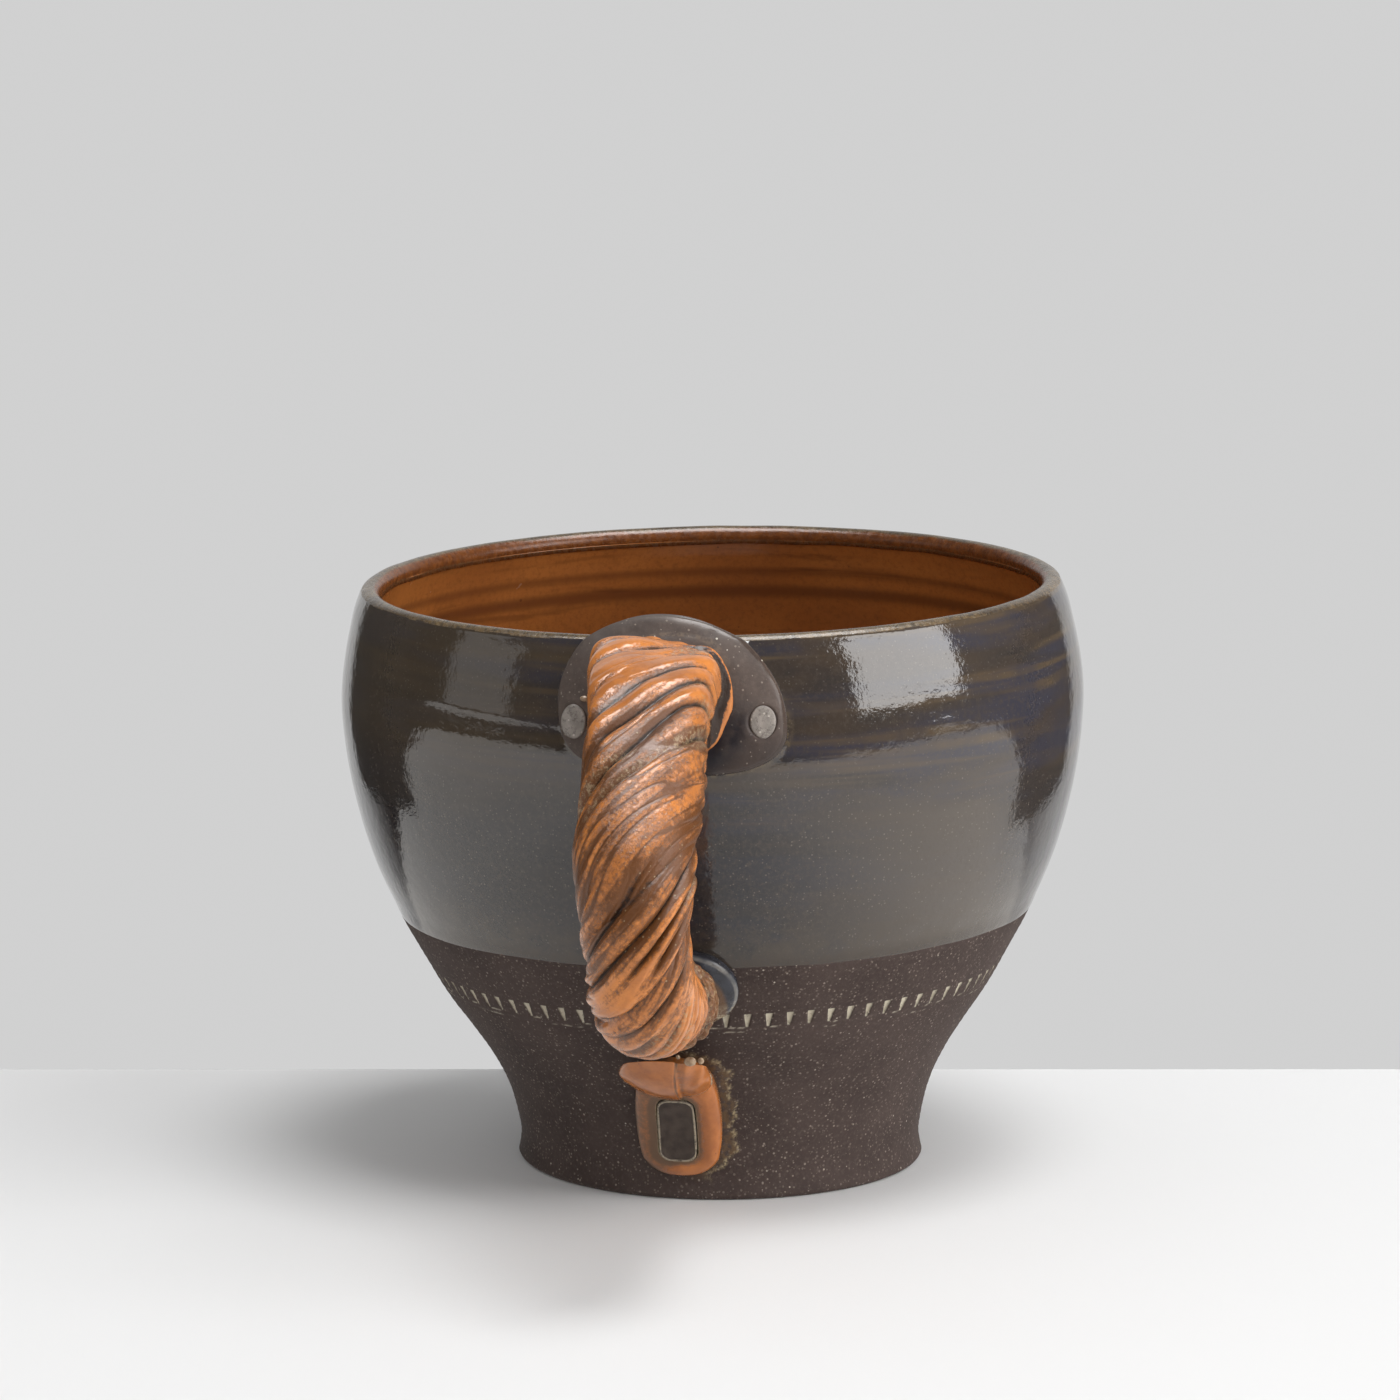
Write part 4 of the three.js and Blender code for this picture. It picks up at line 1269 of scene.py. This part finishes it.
def makePanel():
    p = panel
    back = tongue["thickness"] - p["depth"] + p["gap"]
    tablet = {**p, "back": back, "thickness": back + p["thickness"], "edge": back + p["thickness"] * 0.85}

    def relief(a, z):
        inside = -boxDistance(a, z, p)
        lip = 0.16 * near(0.06, 0.24, np.abs(inside - p["border"]))
        return lip - 0.12 * smooth(0.5, 1.2, inside) + 0.05 * lumps(a / 12 % 1, z / 40, 10, 30, 95)

    middle = (tongue["middle"], (p["foot"] + p["top"]) / 2)
    rows, a, z = slab(tablet, lambda angle: boxOutline(angle, p), middle, relief)
    onFace = (np.arange(len(rows)) > 2)[:, None]
    cream = near(0.08, 0.22, np.abs(-boxDistance(a, z, p) - p["border"])) * onFace * 0.75
    seat(skin("barePanel", rows, {"cream": cream}), barePanel(), "bare_panel", "seal_panel")


# The folded end of the strap: an open mouth tilted up and out, with a pointed left end,
# and a crease where the right lobe tucks under the left one
fold = {
    "topMiddle": -2.9,
    "topHalfWidth": 6.0,
    "topStandOff": 8.8,
    "topHeight": 31.8,
    "mouthTilt": 0.95,
    "lowMiddle": -2.2,
    "lowHalfWidth": 5.6,
    "lowStandOff": 4.6,
    "lowHeight": 21.2,
    "creaseTop": -0.7,
    "creaseLow": -0.9,
    "lobe": 1.35,
    "tuck": 0.75,
    "columns": 240,
    "rows": 90,
    # Rings down into the mouth, as share of the width and drop under the rim
    "mouth": [(0.08, 3.4), (0.4, 3.1), (0.62, 2.4), (0.76, 1.3), (0.84, 0.4), (0.89, 0.05), (0.945, -0.06)],
}


def foldRing(share, pinch=1.0, drop=0.0):
    f = fold
    angle = fullTurn(f["columns"])
    belly = math.sin(math.pi * share)
    middle = mixed(f["topMiddle"], f["lowMiddle"], share)
    halfWidth = mixed(f["topHalfWidth"], f["lowHalfWidth"], share ** 1.3) + 0.25 * belly
    depth = (mixed(f["topStandOff"], f["lowStandOff"], share ** 0.85) + 0.9 * belly) / 2
    front = np.sin(angle)
    left = smooth(0.3, 1, -np.cos(angle)) * (1 - share) ** 2
    lobe = f["lobe"] * smooth(0.0, 0.9, -np.cos(angle)) * math.sin(math.pi * min(1.1 * share, 1)) ** 0.6
    across = middle + pinch * (halfWidth * np.cos(angle) + 0.2 * left - lobe)
    out = depth * (1 + pinch * signedPower(front, 0.85))
    facing = smooth(0.05, 0.5, front)
    past = across - mixed(f["creaseTop"], f["creaseLow"], share)
    tuck = facing * smooth(-0.25, 0.15, past) * np.exp(-np.maximum(past, 0) / 1.6)
    past = past + 0.5 * math.sin(3.0 * share)
    groove = facing * near(0, 0.25, np.abs(past))
    uneven = 0.12 * lumps(angle / (2 * math.pi), share + 0 * angle, 11, 6, 97)
    out = out - f["tuck"] * tuck - 0.15 * groove + uneven
    out = out + 0.35 * facing * smooth(0.6, 1.5, past) * np.sin(across * 2.4 + share * 7) * (1 - share)
    rim = f["topHeight"] - f["mouthTilt"] * (f["topStandOff"] - out)
    low = f["lowHeight"] + 1.6 * np.abs(across - middle) ** 2 / 36
    height = mixed(rim, low, share) - drop
    return onWall(across, height, np.maximum(out, 0.2)), np.clip(0.6 * groove + 0.35 * tuck, 0, 1)


def makeFold():
    f = fold
    shell = Shell(f["columns"], "thin", "cream")
    # Browner down into the mouth, along the crease and tuck, and at the closed lower end: painted shade
    for pinch, drop in f["mouth"]:
        shell.add(foldRing(0.0, pinch, drop)[0], thin=1.0 - 0.75 * max(0.0, pinch - 0.5) * 2)
    for share in np.linspace(0.004, 1, f["rows"]):
        points, groove = foldRing(share)
        shell.add(points, thin=0.10 + 0.9 * groove)
    for pinch in (0.8, 0.5, 0.15):
        shell.add(foldRing(1.0, pinch)[0], thin=0.5)
    seat(skin("foldedLip", shell.rows, shell.marks), tongueGlaze(), "lip_glaze", "folded_lip")


# Beads and blobs of glaze: place on the wall, stand-off, radii across, up and out, and kind
beads = [
    (1.2, 31.0, 7.6, 0.85, 0.6, 0.7, "glass"),
    (-0.4, 31.7, 7.6, 0.30, 0.3, 0.3, "glass"),
    (2.6, 30.4, 6.6, 0.45, 0.45, 0.45, "glass"),
    (3.4, 24.8, 3.9, 0.28, 1.1, 0.4, "glass"),
    (-12.2, 85.3, 3.5, 0.62, 0.42, 0.45, "cream"),
    (7.2, 74.6, 0.1, 2.3, 0.8, 0.6, "slate"),
    (10.2, 75.2, 0.1, 1.5, 0.6, 0.5, "slate"),
]


def makeBeads():
    turn = fullTurn(28)
    kinds = {
        "slate": (slateGlaze(), "slate_glaze"),
        "glass": (paleBead("glassBead", 0.06), "pale_clay"),
        "cream": (paleBead("creamBead", 0.35), "pale_clay"),
    }
    for number, (a, z, out, wide, tall, deep, kind) in enumerate(beads):
        shell = Shell(len(turn), "edge")
        for tilt in np.linspace(-1.45, 1.45, 15):
            reach = math.cos(tilt)
            shell.add(onWall(a + wide * reach * np.cos(turn), z + tall * reach * np.sin(turn),
                             out + deep * math.sin(tilt) + 0 * turn))
        seat(skin(f"glazeBead{number + 1}", shell.rows, shell.marks), *kinds[kind])


# Studio, in metres

studio = {
    "azimuth": 6.4,
    "distance": 1.050,
    "height": 0.262,
    "pitch": 10.097,
    "aside": -0.00335,
    "focalPixels": 6590,
    "imageWidth": 1400,
    "sensor": 36.0,
    "tableBack": 0.058,
    "tableFront": -0.405,
    "tableHalfWidth": 1.1,
    "tableWhite": 0.82,
    "tableInGloss": (0.62, 1.0),
    "tablePale": (0.01, 0.11),
    "tablePaleAside": 0.012,
    "tableGlow": (1.0, 0.985, 0.96, 1),
    "wallGrey": 0.635,
    "wallInGloss": 0.85,
    "roomInGloss": 0.012,
    "roomLight": 0.42,
}
right = Vector((math.cos(math.radians(studio["azimuth"])), math.sin(math.radians(studio["azimuth"])), 0))
forward = Vector((-right.y, right.x, 0))
up = Vector((0, 0, 1))


def makeCamera():
    s = studio
    lens = bpy.data.cameras.new("camera")
    lens.sensor_width = s["sensor"]
    lens.lens = s["focalPixels"] / s["imageWidth"] * s["sensor"]
    lens.clip_start = 0.05
    camera = bpy.data.objects.new("camera", lens)
    camera.location = -s["distance"] * forward + s["aside"] * right + s["height"] * up
    pitch = math.radians(s["pitch"])
    look = forward * math.cos(pitch) - up * math.sin(pitch)
    camera.rotation_euler = look.to_track_quat("-Z", "Y").to_euler()
    bpy.context.scene.collection.objects.link(camera)
    bpy.context.scene.camera = camera
    print("camera set")


def plate(name, corners, finish):
    mesh = bpy.data.meshes.new(name)
    mesh.from_pydata(corners, [], [list(range(len(corners)))])
    piece = bpy.data.objects.new(name, mesh)
    piece.data.materials.append(finish)
    bpy.context.scene.collection.objects.link(piece)
    return piece


def stageFinish(name, grey, **constants):
    finish = bpy.data.materials.new(name)
    finish.use_nodes = True
    shader = finish.node_tree.nodes["Principled BSDF"]
    shader.inputs["Base Color"].default_value = (grey, grey, grey, 1)
    for socket, value in constants.items():
        shader.inputs[socket.replace("_", " ")].default_value = value
    return finish, shader


def makeTable():
    # The table ends straight across the view just behind the foot, as a slab seen from the camera's side
    s = studio
    wide, front, back = s["tableHalfWidth"], s["tableFront"], s["tableBack"]
    edges = ((-wide, front), (wide, front), (wide, back), (-wide, back))
    corners = [tuple(right * x + forward * y) for x, y in edges]
    finish, shader = stageFinish("tableWhite", s["tableWhite"], Roughness=0.9, Specular_IOR_Level=0.1)
    # The mug's gloss sees the table as a painted reflection: a glow, paler to both sides, with a painted
    # shadow in front
    n = Nodes(finish.node_tree)
    split = n.node("ShaderNodeSeparateXYZ", {0: n.node("ShaderNodeTexCoord").outputs["Object"]})
    aside = n.math("ABSOLUTE", n.plus(split.outputs["X"], s["tablePaleAside"]))
    (nearEnd, farEnd), (darkest, palest) = s["tablePale"], s["tableInGloss"]
    pale = n.node("ShaderNodeMapRange", {"Value": aside, "From Min": nearEnd, "From Max": farEnd,
                                         "To Min": darkest, "To Max": palest})
    glow = n.node("ShaderNodeEmission", {"Color": s["tableGlow"], "Strength": pale.outputs[0]})
    inGloss = n.node("ShaderNodeLightPath").outputs["Is Glossy Ray"]
    both = n.node("ShaderNodeMixShader", {0: inGloss, 1: shader.outputs[0], 2: glow.outputs[0]})
    n.feed(n.tree.nodes["Material Output"].inputs["Surface"], both.outputs[0])
    plate("table", corners, finish)
    print("table laid")


# Two black flags beside the mug, which only its gloss sees: aside, front, lean and back
flags = {
    "flagLeft": (-0.19, 0.0, 0.0, 0.17),
    "flagRight": (0.165, 0.012, 0.030, 0.205),
}
flagGrey = 0.012
flagFoot = 0.001
flagHeight = 0.30


def makeFlags():
    finish = stageFinish("flagBlack", flagGrey)[0]
    for name, (x, front, lean, back) in flags.items():
        corners = [(x, front + lean, flagFoot), (x, back, flagFoot),
                   (x, back, flagHeight), (x, front - lean, flagHeight)]
        flag = plate(name, corners, finish)
        flag.visible_camera = False
        flag.visible_diffuse = False
        flag.visible_shadow = False
    print("flags set")


# Lamps: place, height that they aim at over the foot's centre, width, height, strength,
# and what they leave out. Strength is the radiance of the panel, where 1 shows as white.
lamps = {
    "keyBox": ((0.98, -0.367, 0.47), 0.08, 0.74, 0.54, 4.7, "visible_diffuse"),
    "keyLight": ((1.20, -0.60, 1.35), 0.06, 1.30, 1.10, 2.35, "visible_glossy"),
    "topLight": ((0.30, -0.22, 1.80), 0.06, 0.75, 0.60, 9.3, "visible_glossy"),
    "topBox": ((0.05, -0.08, 1.15), 0.08, 1.10, 0.75, 12.0, "visible_diffuse"),
    "fillCard": ((-0.98, -0.36, 0.33), 0.08, 0.46, 0.46, 0.58, "visible_camera"),
    "frontWash": ((0.35, -1.9, 0.50), 0.06, 1.4, 0.8, 1.8, "visible_glossy"),
    "rightWash": ((1.8, -0.35, 0.28), 0.06, 1.0, 0.8, 9.5, "visible_glossy"),
}


def makeLamps():
    for name, (place, aim, width, height, strength, leftOut) in lamps.items():
        light = bpy.data.lights.new(name, "AREA")
        light.shape = "RECTANGLE"
        light.size = width
        light.size_y = height
        light.energy = strength * math.pi * width * height
        lamp = bpy.data.objects.new(name, light)
        lamp.location = place
        lamp.rotation_euler = (aim * up - Vector(place)).to_track_quat("-Z", "Y").to_euler()
        lamp.visible_camera = False
        setattr(lamp, leftOut, False)
        bpy.context.scene.collection.objects.link(lamp)
    print("lights set")


def makeRoom():
    # The camera sees an even grey wall; the gloss sees it only behind, and the diffuse light is even
    s = studio
    world = bpy.data.worlds.new("studioWorld")
    bpy.context.scene.world = world
    world.use_nodes = True
    world.node_tree.nodes.clear()
    n = Nodes(world.node_tree)
    split = n.node("ShaderNodeSeparateXYZ", {0: n.node("ShaderNodeTexCoord").outputs["Generated"]})
    behind = n.node("ShaderNodeMapRange", {"Value": split.outputs["Y"], "From Min": 0.55, "From Max": 0.8,
                                           "To Min": s["roomInGloss"], "To Max": s["wallInGloss"]})
    white = (1.0, 1.0, 1.0, 1)
    room = n.node("ShaderNodeBackground", {"Color": white, "Strength": s["roomLight"]})
    mirror = n.node("ShaderNodeBackground", {"Strength": behind.outputs[0]})
    backdrop = n.node("ShaderNodeBackground", {"Color": white, "Strength": s["wallGrey"]})
    path = n.node("ShaderNodeLightPath")
    share = path.outputs["Is Glossy Ray"]
    first = n.node("ShaderNodeMixShader", {0: share, 1: room.outputs[0], 2: mirror.outputs[0]})
    share = path.outputs["Is Camera Ray"]
    second = n.node("ShaderNodeMixShader", {0: share, 1: first.outputs[0], 2: backdrop.outputs[0]})
    n.node("ShaderNodeOutputWorld", {"Surface": second.outputs[0]})
    print("room set")


makeCamera()
makeTable()
makeFlags()
makeLamps()
makeRoom()
makeBody()
makeOuterCoat()
makeLinerCoat()
makeUpperPad()
makeRivets()
makeHandle()
makeLowerPad()
makeTongue()
makePanel()
makeFold()
makeBeads()

bpy.context.scene.view_settings.view_transform = "Standard"
